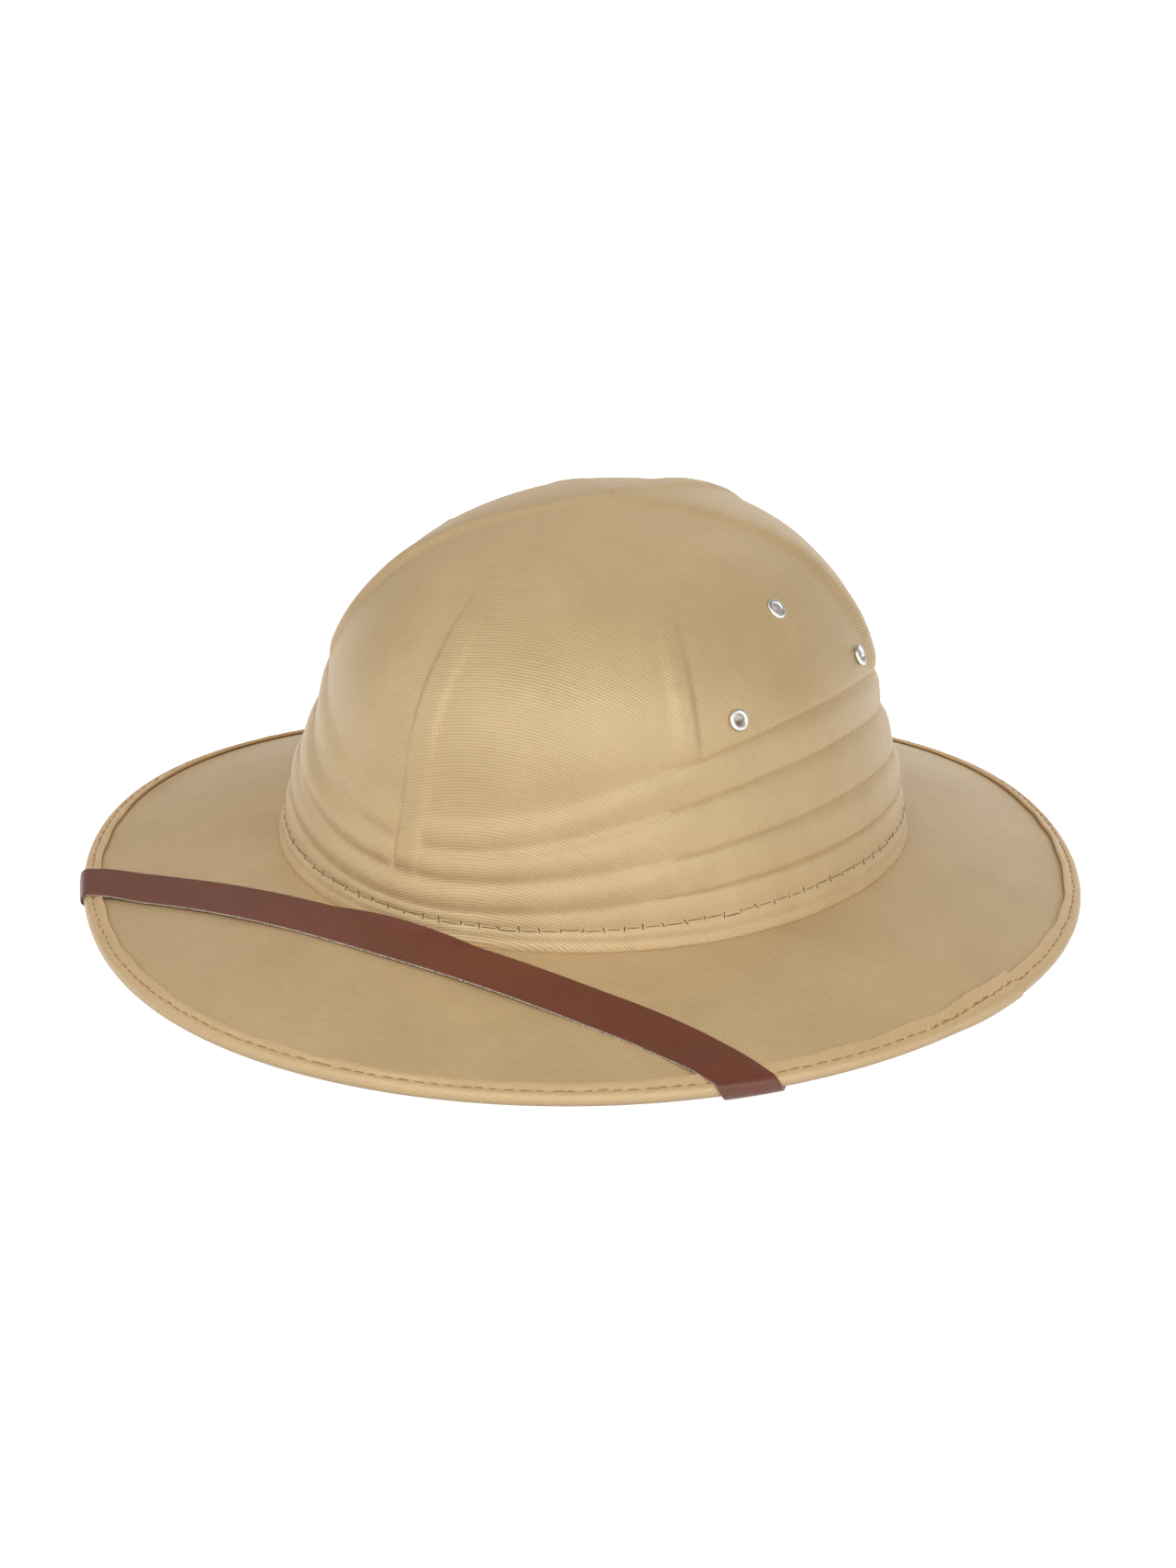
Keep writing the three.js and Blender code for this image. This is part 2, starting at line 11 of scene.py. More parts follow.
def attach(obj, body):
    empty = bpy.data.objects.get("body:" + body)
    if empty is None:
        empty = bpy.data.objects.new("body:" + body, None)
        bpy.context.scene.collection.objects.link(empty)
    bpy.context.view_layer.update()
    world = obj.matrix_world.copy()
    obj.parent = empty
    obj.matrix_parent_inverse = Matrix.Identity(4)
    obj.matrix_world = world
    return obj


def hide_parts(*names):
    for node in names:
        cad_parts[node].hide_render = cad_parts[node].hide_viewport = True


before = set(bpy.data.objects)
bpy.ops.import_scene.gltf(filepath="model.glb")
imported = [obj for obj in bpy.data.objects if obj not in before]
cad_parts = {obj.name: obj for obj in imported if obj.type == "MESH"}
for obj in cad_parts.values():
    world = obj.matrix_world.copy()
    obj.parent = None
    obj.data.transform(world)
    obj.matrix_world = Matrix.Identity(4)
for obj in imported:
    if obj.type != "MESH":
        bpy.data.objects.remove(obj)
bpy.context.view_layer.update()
print("frame loaded:", ", ".join(sorted(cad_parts)))

sin, cos, pi = np.sin, np.cos, np.pi
fullTurn = 2 * pi


# ---- small helpers: a maker's arithmetic on whole arrays

def mix(a, b, t):
    return a + (b - a) * t


def smooth(x, low, high):
    # 0 below low, 1 above high, 3t^2 - 2t^3 in between
    t = np.clip((x - low) / (high - low), 0, 1)
    return t * t * (3 - 2 * t)


def cubic(start, end, leave, arrive, f):
    # from start to end as f goes from 0 to 1, with these slopes at the ends
    return (start + leave * f + (3 * (end - start) - 2 * leave - arrive) * f ** 2
            + (2 * (start - end) + leave + arrive) * f ** 3)


def unit(v):
    return v / np.maximum(np.linalg.norm(v, axis=-1, keepdims=True), 1e-9)


def hump(x, centre, half):
    # a cosine bell, 1 at the centre and 0 beyond half on either side
    return 0.5 + 0.5 * cos(pi * np.clip(np.abs(x - centre) / half, 0, 1))


def halving(low, high, good):
    # for each value, the last place on the way from low to high that is still good
    for _ in range(30):
        middle = (low + high) / 2
        isGood = good(middle)
        low, high = np.where(isGood, middle, low), np.where(isGood, high, middle)
    return low


def waver(x, seed, waves=5, low=3, high=17):
    # a sum of a few sine waves of seeded pace and phase, roughly -1 to 1, closed over one turn
    rng = np.random.default_rng(seed)
    paces = rng.integers(low, high + 1, waves)
    phases = rng.uniform(0, fullTurn, waves)
    return sum(sin(pace * x + phase) for pace, phase in zip(paces, phases)) / waves ** 0.5


def runLength(points):
    # length along each line of points down the first axis, from 0 at its start
    steps = np.linalg.norm(np.diff(points, axis=0), axis=-1)
    return np.concatenate([0 * steps[:1], np.cumsum(steps, 0)])


def soften(grid, passes, axis, wrap):
    # every value becomes a quarter of each neighbour and half of itself, again and again
    edges = [(1, 1) if a == axis else (0, 0) for a in range(grid.ndim)]
    for _ in range(passes):
        padded = np.pad(grid, edges, "wrap" if wrap else "edge")
        before = np.take(padded, range(0, grid.shape[axis]), axis)
        after = np.take(padded, range(2, grid.shape[axis] + 2), axis)
        grid = 0.5 * grid + 0.25 * (before + after)
    return grid


# ---- how the hat settles on the floor

settle = {"aboutX": 0.85, "aboutY": -1.27, "shift": (-0.0682, 0.0104, 3.3345)}
lean = np.array(Matrix.Rotation(np.radians(settle["aboutX"]), 3, "X")
                @ Matrix.Rotation(np.radians(settle["aboutY"]), 3, "Y"))


def settled(points):
    # leaned about Y and then X, shifted to the floor, never below it, in metres
    placed = points @ lean.T + np.array(settle["shift"])
    placed[..., 2] = np.maximum(placed[..., 2], 0)
    return placed / 1000


# ---- meshes from grids

def addObject(name, points, faces, uvs=None, sharpDegrees=None):
    mesh = bpy.data.meshes.new(name)
    mesh.from_pydata(points.tolist(), [], faces)
    if uvs is not None:
        mesh.uv_layers.new(name="cloth").uv.foreach_set("vector", uvs.astype(np.float32).ravel())
    mesh.polygons.foreach_set("use_smooth", [True] * len(mesh.polygons))
    if sharpDegrees:
        mesh.set_sharp_from_angle(angle=np.radians(sharpDegrees))
    mesh.update()
    piece = bpy.data.objects.new(name, mesh)
    bpy.context.scene.collection.objects.link(piece)
    return piece


def gridFaces(grid, tips, capped):
    # the corners of all faces over a grid, of point numbers or of their uv: quads between
    # neighbours, fans from both ends to the tips, or flat ends
    quads = np.stack([grid[:-1, :-1], grid[1:, :-1], grid[1:, 1:], grid[:-1, 1:]], 2)
    parts = [quads.reshape(-1, 4, *grid.shape[2:])]
    if tips:
        for edge, tip, order in ((grid[0], tips[0], 1), (grid[-1], tips[1], -1)):
            parts.append(np.stack([tip + 0 * edge[:-1], edge[:-1], edge[1:]], 1)[:, ::order])
    if capped:
        parts += [grid[:1, :-1], grid[-1:, -2::-1]]
    return parts


def gridPiece(name, grid, uv=None, wrapRows=False, poles=None, capped=False, sharpDegrees=None):
    # Quads between neighbours of a rows x columns grid whose columns close on themselves. The rows
    # close too (wrapRows), end in single points (poles), or are filled flat at both ends (capped).
    rows, columns = grid.shape[:2]
    points = settled(grid).reshape(-1, 3)
    numbers = np.arange(rows * columns).reshape(rows, columns)
    numbers = np.pad(numbers, [(0, int(wrapRows)), (0, 1)], "wrap")
    faces = gridFaces(numbers, poles and (rows * columns, rows * columns + 1), capped)
    corners = [] if uv is None else gridFaces(uv, poles and (0, 0), capped)
    a, b, d, e = (points[faces[0][:, k]] for k in range(4))
    if np.sum(a * np.cross(b, d)) + np.sum(a * np.cross(d, e)) < 0:  # inside out, by its volume
        faces, corners = ([part[:, ::-1] for part in parts] for parts in (faces, corners))
    if poles:
        points = np.vstack([points, settled(np.array(poles, float))])
    uvs = None if uv is None else np.concatenate([part.reshape(-1, 2) for part in corners])
    return addObject(name, points, [face for part in faces for face in part.tolist()], uvs,
                     sharpDegrees)


def tubesPiece(name, paths, ups, radii, sides=6):
    # Many short tubes at once: a ring of points at each step of every path, square to it, closed at
    # both ends. paths and ups are tubes x steps x 3, radii tubes x steps.
    way = unit(np.gradient(paths, axis=1))
    across = unit(np.cross(way, ups))
    over = np.cross(across, way)
    angle = (np.arange(sides) / sides * fullTurn)[None, None, :, None]
    rings = paths[:, :, None] + radii[:, :, None, None] * (
        cos(angle) * across[:, :, None] + sin(angle) * over[:, :, None])
    here = np.arange(radii.size * sides).reshape(*radii.shape, sides)
    beside = np.roll(here, -1, 2)
    quads = np.stack([here[:, :-1], beside[:, :-1], beside[:, 1:], here[:, 1:]], -1).reshape(-1, 4)
    faces = quads.tolist() + here[:, 0, ::-1].tolist() + here[:, -1].tolist()
    return addObject(name, settled(rings).reshape(-1, 3), faces)


# ---- crown

crown = {
    # height, half width, half length of the outer face, from the bottom edge up to the apex
    "profile": [(0, 91.6, 98.6), (11.3, 89.5, 98.3), (24.5, 86.4, 96.6), (39.7, 81.1, 92.4),
                (54.8, 76.7, 89.2), (68.0, 70.8, 83.8), (79.3, 62.4, 75.2), (88.7, 52.4, 64.2),
                (96.3, 38.6, 48.2), (102.0, 20.4, 25.9), (105.3, 0, 0)],
    # the bottom edge's height and how it rises at the sides and behind; how far back the crown and
    # its apex lie; its wall, and how far the edge sinks onto the brim
    "edgeLift": 18.9, "edgeSweep": 1.1, "edgeNod": 0.5, "back": 2.4, "apexBack": 3.0,
    "wall": 2.2, "edgeDrop": 0.55,
    # how flat the panels are between the seams, low down and high up, and where it changes (u)
    "facetLow": 0.04, "facetHigh": 0.22, "facetRise": (0.3, 0.9), "roundedAbove": (0.3, 0.6),
    "seams": [0, 57, 123, 180, 237, 303],
    # the raised strip along each seam, in millimetres across it: left foot, left top, right top,
    # right foot; its height low down and at the apex, where it fades (u), how many folds stop at
    # it, and the groove beside its sharp side: where and how deep
    "strips": [(-5.8, -5.2, 0.9, 4.0, 1.1, 0.2, 0.45, 0.85, 2, -6.9, 0.4),
               (-6.5, -2.0, 1.4, 3.0, 1.0, 0.1, 0.4, 0.78, 0, 4.0, 0.35),
               (-6.8, -2.0, 3.2, 5.2, 1.5, 1.1, 0.6, 0.95, 0, 0, 0),
               (-5.2, -3.2, 3.2, 5.2, 1.5, 0.9, 0.8, 1.0, 0, 0, 0),
               (-5.2, -3.2, 3.2, 5.2, 1.5, 0.2, 0.5, 0.85, 0, 0, 0),
               (-3.0, -1.4, 1.8, 7.4, 1.5, 0.9, 0.6, 0.95, 0, -4.0, 0.4)],
    "stripStart": (-2, 5),  # a strip rises over these millimetres from its lowest crease
    "stripGroove": 1.6,  # half the width of the groove beside it
    "foldStop": (-2.4, -0.2, 0.5, 0.3),  # where folds end: by the left foot, the right top and foot
    "softSeams": [0.16, 0.16, 0.02, 0.02, 0.05, 0.02],  # how far the panels' meeting is rounded off
    # each fold: crease height in front, at the sides, more on the diagonals; how far it stands out
    # in front and at the sides
    "folds": [(34.9, 55.9, 0.75, 1.45, 1.0), (25.4, 43.3, 0.95, 1.45, 0.9),
              (16.7, 28.9, 0.5, 1.15, 0.9), (8.6, 15.8, 0.6, 0.3, 0.45), (5.5, 7.4, -0.1, 0, 0)],
    "topRise": 1.8,  # how much higher the top crease runs right of the front
    "creaseGroove": 0.5,  # how much deeper the creases are drawn in at the sides
    "crestFront": 0.5, "crestSide": 0.26,  # how far down a fold its crest lies
    # the panels above the folds: how deep and how far up they tuck in, how much they pillow out,
    # each in front and at the sides
    "tuckDepth": (1.25, 0.4), "tuckReach": (14, 6), "pillow": (0.7, 0.2), "pillowUp": 25,
    "hemDraw": (1.2, 0.4),  # how much the wall draws in above the hem, in front and at the sides
    # the hem: its bulge, the pull of its stitches, the groove above its lip and the lip's flare,
    # with half widths and heights
    "hemBulge": 0.35, "seamPull": 0.15, "seamHalf": 1.6, "lipHeight": 2.7, "lipGroove": 0.25,
    "lipHalf": 1.3, "flare": 0.6, "flareTop": 2.2,
    "clothTwist": -15,  # degrees from the middle line to the cloth's threads
}
profileRows = np.array(crown["profile"], float)
profileEnds = np.vstack([2 * profileRows[0] - profileRows[1], profileRows,
                         profileRows[-2] * [1, -1, -1]])
seamTurns = np.radians(crown["seams"])


def profileAt(u):
    # Catmull-Rom through the profile's rows, u = 0 at the edge and 1 at the apex
    last = len(profileRows) - 1
    at = np.clip(u, 0, 1) * last
    i = np.minimum(at.astype(int), last - 1)
    f = (at - i)[..., None]
    a, b, c, d = (profileEnds[i + k] for k in range(4))
    return cubic(b, c, (c - a) / 2, (d - b) / 2, f)


tableU = np.linspace(0, 1, 4001)
tableHeight = np.maximum.accumulate(profileAt(tableU)[:, 0])


def uAtHeight(height):
    return np.interp(height, tableHeight, tableU)


def panelChord(turn):
    # cos(half) / cos(distance from the panel's middle): a straight chord between two seams
    turn = np.mod(turn, fullTurn)
    starts = np.append(seamTurns, fullTurn)
    i = np.clip(np.searchsorted(starts, turn, "right") - 1, 0, len(seamTurns) - 1)
    half = (starts[i + 1] - starts[i]) / 2
    return cos(half) / cos(half - (turn - starts[i]))


def seamRounding(turn):
    # the chords meet in a point; this is how much lower the rounded meeting lies
    chordSlope, near = 0.54, 0.5
    low = 0
    for seam, soft in zip(seamTurns, crown["softSeams"]):
        away = turnAway(turn, seam)
        low = low + chordSlope * (np.hypot(away, soft) - np.abs(away)) * (np.abs(away) < near)
    return low


def edgeLift(turn):
    sweep = crown["edgeSweep"] * (1 - cos(2 * turn))
    return crown["edgeLift"] + sweep - crown["edgeNod"] * cos(turn)


def foldHeight(fold, turn):
    # front height, swung up to the side height with cos 2t, and a little more on the diagonals
    front, side, diagonal = crown["folds"][fold][:3]
    extra = np.where(sin(turn) < 0, crown["topRise"] * (fold == 0), 0) + diagonal
    return front + (side - front) / 2 * (1 - cos(2 * turn)) + extra * (1 - cos(4 * turn))


def crownPoint(turn, u, off=0.0):
    # oval of the profile's row, pressed towards the panels' chords, off millimetres along its
    # normal
    turn, u, off = np.broadcast_arrays(np.asarray(turn, float), np.asarray(u, float), off)
    row = profileAt(u)
    facet = mix(crown["facetLow"], crown["facetHigh"], smooth(u, *crown["facetRise"]))
    rounding = seamRounding(turn) * smooth(u, *crown["roundedAbove"])
    squash = 1 - facet * (1 - panelChord(turn) + rounding)
    x = row[..., 1] * squash * sin(turn)
    y = -row[..., 2] * squash * cos(turn)
    step = 0.002
    below, above = profileAt(u - step), profileAt(np.minimum(u + step, 1))
    rise, draw = above[..., 0] - below[..., 0], below[..., 1] - above[..., 1]
    length = np.hypot(rise, draw)
    grow = 1 + off * rise / length / np.maximum(np.hypot(x, y), 1e-6)
    lift = row[..., 0] + crown["edgeLift"] + (edgeLift(turn) - crown["edgeLift"]) * (1 - u)
    return np.stack([x * grow, y * grow + crown["back"] + crown["apexBack"] * u,
                     lift + off * draw / length], -1)


def turnAway(turn, seam):
    # signed angle from a seam, the short way round
    return np.arctan2(sin(turn - seam), cos(turn - seam))


def rowRadius(row, turn):
    # millimetres of way round the crown for one radian of turn there
    return np.hypot(row[..., 2] * sin(turn), row[..., 1] * cos(turn))


def sideShare(turn, low=0.6, high=0.9):
    # 0 in front and behind, 1 at the sides
    return smooth(np.abs(sin(turn)), low, high)


def stripRelief(turn, row, u, creases):
    # raised strips along the seams, where they stand (1 inside), and where the folds stop for them
    raised, inside = np.zeros_like(u), np.zeros_like(u)
    stops = []
    beforeLeft, atLeft, afterRight, atRight = crown["foldStop"]
    for seam, strip in enumerate(crown["strips"]):
        leftFoot, leftTop, rightTop, rightFoot, low, high = strip[:6]
        fadeLow, fadeHigh, last, groove, deep = strip[6:]
        away = turnAway(turn, seamTurns[seam]) * rowRadius(row, seamTurns[seam])
        shape = smooth(away, leftFoot, leftTop) * (1 - smooth(away, rightTop, rightFoot))
        begun = smooth(row[..., 0] - creases[last], *crown["stripStart"])
        fade = smooth(u, fadeLow, fadeHigh)
        raised = np.maximum(raised, mix(low, high, fade) * shape * begun)
        inside = np.maximum(inside, shape * begun)
        if deep:
            raised = raised - deep * hump(away, groove, crown["stripGroove"]) * begun * (1 - fade)
        stops.append((last, 1 - smooth(away, leftFoot + beforeLeft, leftFoot + atLeft)
                      * (1 - smooth(away, rightTop + afterRight, rightFoot + atRight))))
    return raised, inside, stops


def crownRelief(turn, u):
    # how far the moulding stands out. Each fold is half a sine down to its crest and half a cosine
    # on to the next crease; the panels above tuck in towards the first crease and pillow out higher
    # up; the hem is drawn in along its seam and spreads where it meets the brim.
    row = profileAt(u)
    height = row[..., 0]
    creases = np.stack([foldHeight(k, turn) for k in range(5)])
    side, front = sideShare(turn), 1 - sideShare(turn, 0.3, 0.7)
    raised, inside, stops = stripRelief(turn, row, u, creases)
    rolls = np.zeros_like(height)
    crest = mix(crown["crestFront"], crown["crestSide"], side)
    for k in range(4):
        along = np.clip((creases[k] - height) / (creases[k] - creases[k + 1]), 0, 1)
        bulge = mix(crown["folds"][k][3], crown["folds"][k][4], side)
        roll = bulge * np.where(along < crest, sin(pi / 2 * along / crest),
                                cos(pi / 2 * (along - crest) / (1 - crest)))
        for last, stop in stops:
            if k < last:
                roll = roll * stop
        rolls = np.maximum(rolls, roll)
    above = height - creases[0]
    depth, reach, pillow = (mix(crown[name][1], crown[name][0], front)
                            for name in ("tuckDepth", "tuckReach", "pillow"))
    below = np.clip(-above / (creases[0] - creases[3]), 0, 1)
    tuck = np.where(above >= 0, np.clip(1 - above / reach, 0, 1) ** 2, 1 - below ** 2)
    body = pillow * hump(above, crown["pillowUp"], crown["pillowUp"]) - depth * tuck * (1 - inside)
    draw = mix(crown["hemDraw"][0], crown["hemDraw"][1], sideShare(turn, 0.5, 0.95))
    drawn = smooth(height, 0, creases[3] + 1) * (1 - smooth(height, creases[1], creases[0] + 14))
    body = body - draw * drawn * (1 - smooth(u, 0.4, 0.6))
    hem = np.clip(height / creases[4], 0, 1)
    body = body + crown["hemBulge"] * (4 * hem * (1 - hem)) ** 0.7
    body = body - crown["lipGroove"] * hump(height, crown["lipHeight"], crown["lipHalf"])
    body = body - crown["seamPull"] * hump(height - creases[4], 0, crown["seamHalf"])
    body = body + crown["flare"] * (1 - smooth(height, 0, crown["flareTop"]))
    return np.maximum(rolls, raised) + body


def rowU(place, turn):
    # place counts creases upwards: 0 edge, 1 seam line, 2 to 5 the folds' creases, 6 the apex
    heights = np.stack([np.zeros_like(turn)] + [foldHeight(k, turn) for k in (4, 3, 2, 1, 0)])
    k = np.minimum(place.astype(int), 4)
    here = np.take_along_axis(heights, k[None], 0)[0]
    there = np.take_along_axis(heights, k[None] + 1, 0)[0]
    low = uAtHeight(mix(here, there, np.clip(place - k, 0, 1)))
    return np.where(place > 5, mix(uAtHeight(heights[5]), 1, place - 5), low)


def crownColumns(rowPlaces, acrossStrip, acrossPanel):
    # turns of the columns in every row: evenly across each strip, then evenly across each panel
    count = len(seamTurns)
    seamGrid = np.broadcast_to(seamTurns, (len(rowPlaces), count))
    row = profileAt(rowU(np.broadcast_to(rowPlaces[:, None], seamGrid.shape), seamGrid))
    radius = np.maximum(rowRadius(row, seamGrid), 1e-6)
    gaps = np.diff(np.append(seamTurns, fullTurn))
    nearest = np.minimum(gaps, np.roll(gaps, 1))
    halfStrip, mostOfPanel = 8.0, 0.24
    reach = np.minimum(halfStrip / radius, mostOfPanel * nearest)
    strip = np.linspace(-1, 1, acrossStrip)
    panel = np.linspace(0, 1, acrossPanel + 2)[1:-1]
    parts = []
    for seam in range(count):
        after = (seam + 1) % count
        parts.append(seamTurns[seam] + reach[:, seam, None] * strip)
        start = seamTurns[seam] + reach[:, seam, None]
        end = seamTurns[seam] + gaps[seam] - reach[:, after, None]
        parts.append(mix(start, end, panel))
    return np.concatenate(parts, 1)


def drapedUv(turn, u):
    # the cloth drawn out flat from the apex: arc length from the apex in the direction of the turn
    steps = profileAt(tableU)
    arc = runLength(np.stack([steps[:, 1:].mean(1), steps[:, 0]], -1))
    reach = np.interp(u, tableU, arc[-1] - arc)
    angle = turn + np.radians(crown["clothTwist"])
    return np.stack([reach * sin(angle), -reach * cos(angle)], -1)


def buildCrown():
    # the outer sheet from the apex down, then the inner one back up. Rows follow the creases.
    fold = np.arange(15) / 15
    outer = np.concatenate([[0, 0.02, 0.05, 0.1], np.linspace(0.17, 0.9, 11)]
                           + [1 + k + fold for k in range(4)]
                           + [5 + np.linspace(0, 0.15, 12), 5 + np.linspace(0.17, 0.985, 56)])
    inner = np.concatenate([np.linspace(0, 0.9, 4), np.linspace(1, 5, 22),
                            5 + np.linspace(0.05, 0.97, 22)])
    lip = 0.35  # the edge's corners are rounded to this radius
    innerRelief = 0.9  # how much of the moulding the inner face follows
    sheets = []
    for places, inside in ((outer[::-1], False), (inner, True)):
        turn = crownColumns(places, acrossStrip=26, acrossPanel=42)
        u = rowU(np.broadcast_to(places[:, None], turn.shape), turn)
        off = crownRelief(turn, u)
        off = soften(soften(off, 3, 0, False), 1, 1, True)
        if inside:
            off = off * innerRelief - crown["wall"]
        else:  # the rows that lie along the creases are drawn in
            creased = np.isin(places, (2, 3, 4, 5))[:, None]
            off = off - crown["creaseGroove"] * creased * sideShare(turn)
        height = profileAt(u)[..., 0]
        corner = lip - np.sqrt(np.maximum(lip ** 2 - np.clip(lip - height, 0, lip) ** 2, 0))
        off = off + (corner if inside else -corner)
        points = crownPoint(turn, u, off)
        points[..., 2] -= crown["edgeDrop"] * (1 - smooth(height, 0, 1.5))  # down onto the brim
        uv = drapedUv(np.append(turn, turn[:, :1] + fullTurn, 1), np.append(u, u[:, :1], 1))
        sheets.append((points, uv))
    grid, uv = (np.concatenate(part) for part in zip(*sheets))
    apex = [crownPoint(0, 1), crownPoint(0, 1, -crown["wall"])]
    return gridPiece("crownCover", grid, uv, poles=apex)


# ---- brim

brim = {"halfLength": 167.9, "halfWidth": 150.0, "egg": 0.025, "point": 0.024, "mean": 1.9,
        "belly": 1.5, "wall": 2.4, "gap": 0.3, "collarHeight": 10, "collarClear": 0.6,
        "collarWall": 2, "collarFoot": 1.4,
        # waves of the rim's height: how many round the rim, cosine and sine parts
        "waves": [(1, 0.9, 0.3), (2, -1.9, -2.9), (3, 1.1, 0), (4, 0.7, 0)],
        "clothEnd": 0.93,  # where the upper face ends (w) and the rim's own section begins
        "sway": 0.25,  # how far the cloth is from lying flat
        "clothTwist": 7}
rimEdge = 0.99  # the slope at the rim is taken here (w)


def rimPoint(turn):
    # an oval, wider in front (egg) and drawn in on the diagonals (point)
    draw = 1 - brim["point"] * (1 - cos(4 * turn))
    lift = brim["mean"] + sum(c * cos(n * turn) + s * sin(n * turn) for n, c, s in brim["waves"])
    return np.stack([brim["halfWidth"] * sin(turn) * (1 + brim["egg"] * cos(turn)) * draw,
                     -brim["halfLength"] * cos(turn) * draw, lift], -1)


def brimMiddle(turn, w):
    # straight from the crown's edge (w = 0) to the rim (w = 1), bellied up in between
    turn, w = np.broadcast_arrays(turn, w)
    start = crownPoint(turn, 0.0) - [0, 0, brim["gap"] + brim["wall"] / 2]
    point = mix(start, rimPoint(turn), w[..., None])
    point[..., 2] += brim["belly"] * 4 * w * (1 - w)
    return point


def brimFrame(turn, w):
    # directions down the slope and square to it
    down = unit(brimMiddle(turn, w + 0.01) - brimMiddle(turn, w - 0.01))
    flat = unit(down * [1, 1, 0])
    up = unit(np.stack([-flat[..., 0] * down[..., 2], -flat[..., 1] * down[..., 2],
                        np.hypot(down[..., 0], down[..., 1])], -1))
    return down, up


def brimPoint(turn, w, off):
    down, up = brimFrame(turn, w)
    return brimMiddle(turn, w) + up * np.asarray(off, float)[..., None]


def rimSection(turn, inward, off):
    # a point of the rim's own section: inward from the outermost line, and off the brim's middle
    turn, inward, off = np.broadcast_arrays(turn, inward, off)
    down, up = brimFrame(turn, rimEdge)
    return rimPoint(turn) - down * inward[..., None] + up * off[..., None]


def planUv(points):
    # the brim's cloth lies flat: plan position, turned to the thread's direction
    a = np.radians(brim["clothTwist"])
    x, y = points[..., 0], points[..., 1]
    return np.stack([x * cos(a) + y * sin(a), y * cos(a) - x * sin(a)], -1)


def buildBrim():
    turn = np.linspace(0, fullTurn, 360, endpoint=False)[None]
    half, collarOff = brim["wall"] / 2, crown["wall"] + brim["collarClear"]
    insideOff = collarOff + brim["collarWall"]
    edge = tape["wall"] + brim["gap"]
    heights = np.linspace(brim["collarHeight"], 0, 6)[:, None]
    w = np.linspace(0, brim["clothEnd"], 40)[:, None]
    sway = brim["sway"] * smooth(w, 0, 0.3) * smooth(-w, -brim["clothEnd"], -0.7)
    sway = sway * (waver(turn, 5, 4, 2, 7) + waver(turn, 6, 3, 4, 11) * sin(3 * w))
    angle = np.linspace(pi / 2, -pi / 2, 9)[:, None]
    blocks = [  # down the collar, out over the brim, round its edge, back under and up the collar
        crownPoint(turn, uAtHeight(heights), -collarOff),
        crownPoint(turn, 0.0, -collarOff)[:1] - [0, 0, brim["gap"]],
        brimPoint(turn, w, half + sway),
        rimSection(turn, edge + half - half * cos(angle), half * sin(angle)),
        brimPoint(turn, w[::-1], -half + sway[::-1]),
        crownPoint(turn, 0.0, -insideOff)[:1] - [0, 0, brim["collarFoot"]],
        crownPoint(turn, uAtHeight(heights[::-1]), -insideOff),
    ]
    grid = np.concatenate(blocks)
    closed = np.pad(grid, [(0, 1), (0, 1), (0, 0)], "wrap")
    return gridPiece("brimCover", grid, planUv(closed), wrapRows=True, sharpDegrees=50)


# ---- rim tape

tape = {"width": 6.2, "wall": 0.8, "lapTurn": 91, "lapLength": 6, "lapRise": 1.1, "landWidth": 2.2,
        "stitchInward": 3.2, "groove": 0.42, "bead": 0.18,
        # its inner edge runs unevenly: a waver, and one broad stretch; then the puckers beside it
        "edgeWaver": 0.22, "widerBy": 1.1, "widerAt": 1.25, "widerHalf": 0.8, "pucker": 0.1}
tapeInside = brim["wall"] / 2 + brim["gap"]
noseRadius = tapeInside + tape["wall"]


def lapExtra(turn):
    # the end lies over the start of the tape: thicker just before the lap, then a sudden edge
    lap, length = np.radians(tape["lapTurn"]), np.radians(tape["lapLength"])
    turn = np.mod(turn, fullTurn)
    return np.where(turn < lap, tape["lapRise"] * smooth(turn, lap - 2 * length, lap - length), 0)


def tapeSection(turn):
    # the tape's section at each turn: inward from the rim and off the brim's middle, as a closed
    # loop. It swells by extra where the lap lies, and lands flat where the rim may touch the floor.
    extra = lapExtra(turn)
    down, _ = brimFrame(turn, rimEdge)
    landStart, landWidth = 1.4, tape["landWidth"]
    landEnd, landDrop = landStart + landWidth, landWidth * np.tan(np.arcsin(-down[..., 2]))
    wider = tape["widerBy"] * hump(np.mod(turn, fullTurn), tape["widerAt"], tape["widerHalf"])
    top, width = noseRadius, tape["width"] + tape["edgeWaver"] * waver(turn, 11, 6, 9, 60) + wider
    pucker = tape["pucker"] * waver(turn, 12, 6, 60, 130)
    stitch, bead = tape["stitchInward"], top + tape["bead"] + extra
    groove = top - tape["groove"] * (1 - 0.8 * smooth(extra, 0.4, 1.0)) + extra
    lapped = width + 0.9 * extra
    rows = [  # up the inner edge, over the bead beside the stitches and through their groove
        (lapped - 0.25, tapeInside), (lapped, top - 0.45 + extra), (lapped - 0.1, top + extra),
        (lapped - 0.6, bead), (width - 1.2 + 0.7 * extra, bead + pucker),
        (width - 1.9 + 0.4 * extra, top + extra + pucker),
        (stitch + 0.35, groove + 0.08), (stitch, groove), (stitch - 0.4, groove + 0.16)]
    for angle in np.linspace(pi / 2, -0.35 * pi, 10):  # round the nose
        rows.append((top - (top + 0.6 * extra) * cos(angle),
                     0.99 * top * sin(angle) + extra * np.clip(sin(angle), 0, 1)))
    rows += [  # along the under side to its edge, and back inside against the brim
        (landStart, -0.87 * top), (landEnd, -0.87 * top - landDrop),
        (width - 0.6, -top + 0.02), (width, -top + 0.3), (width - 0.25, -tapeInside),
        (tape["wall"], -tapeInside), (tape["wall"], tapeInside)]
    return (np.stack([np.broadcast_to(row[k], turn.shape) for row in rows]) for k in range(2))


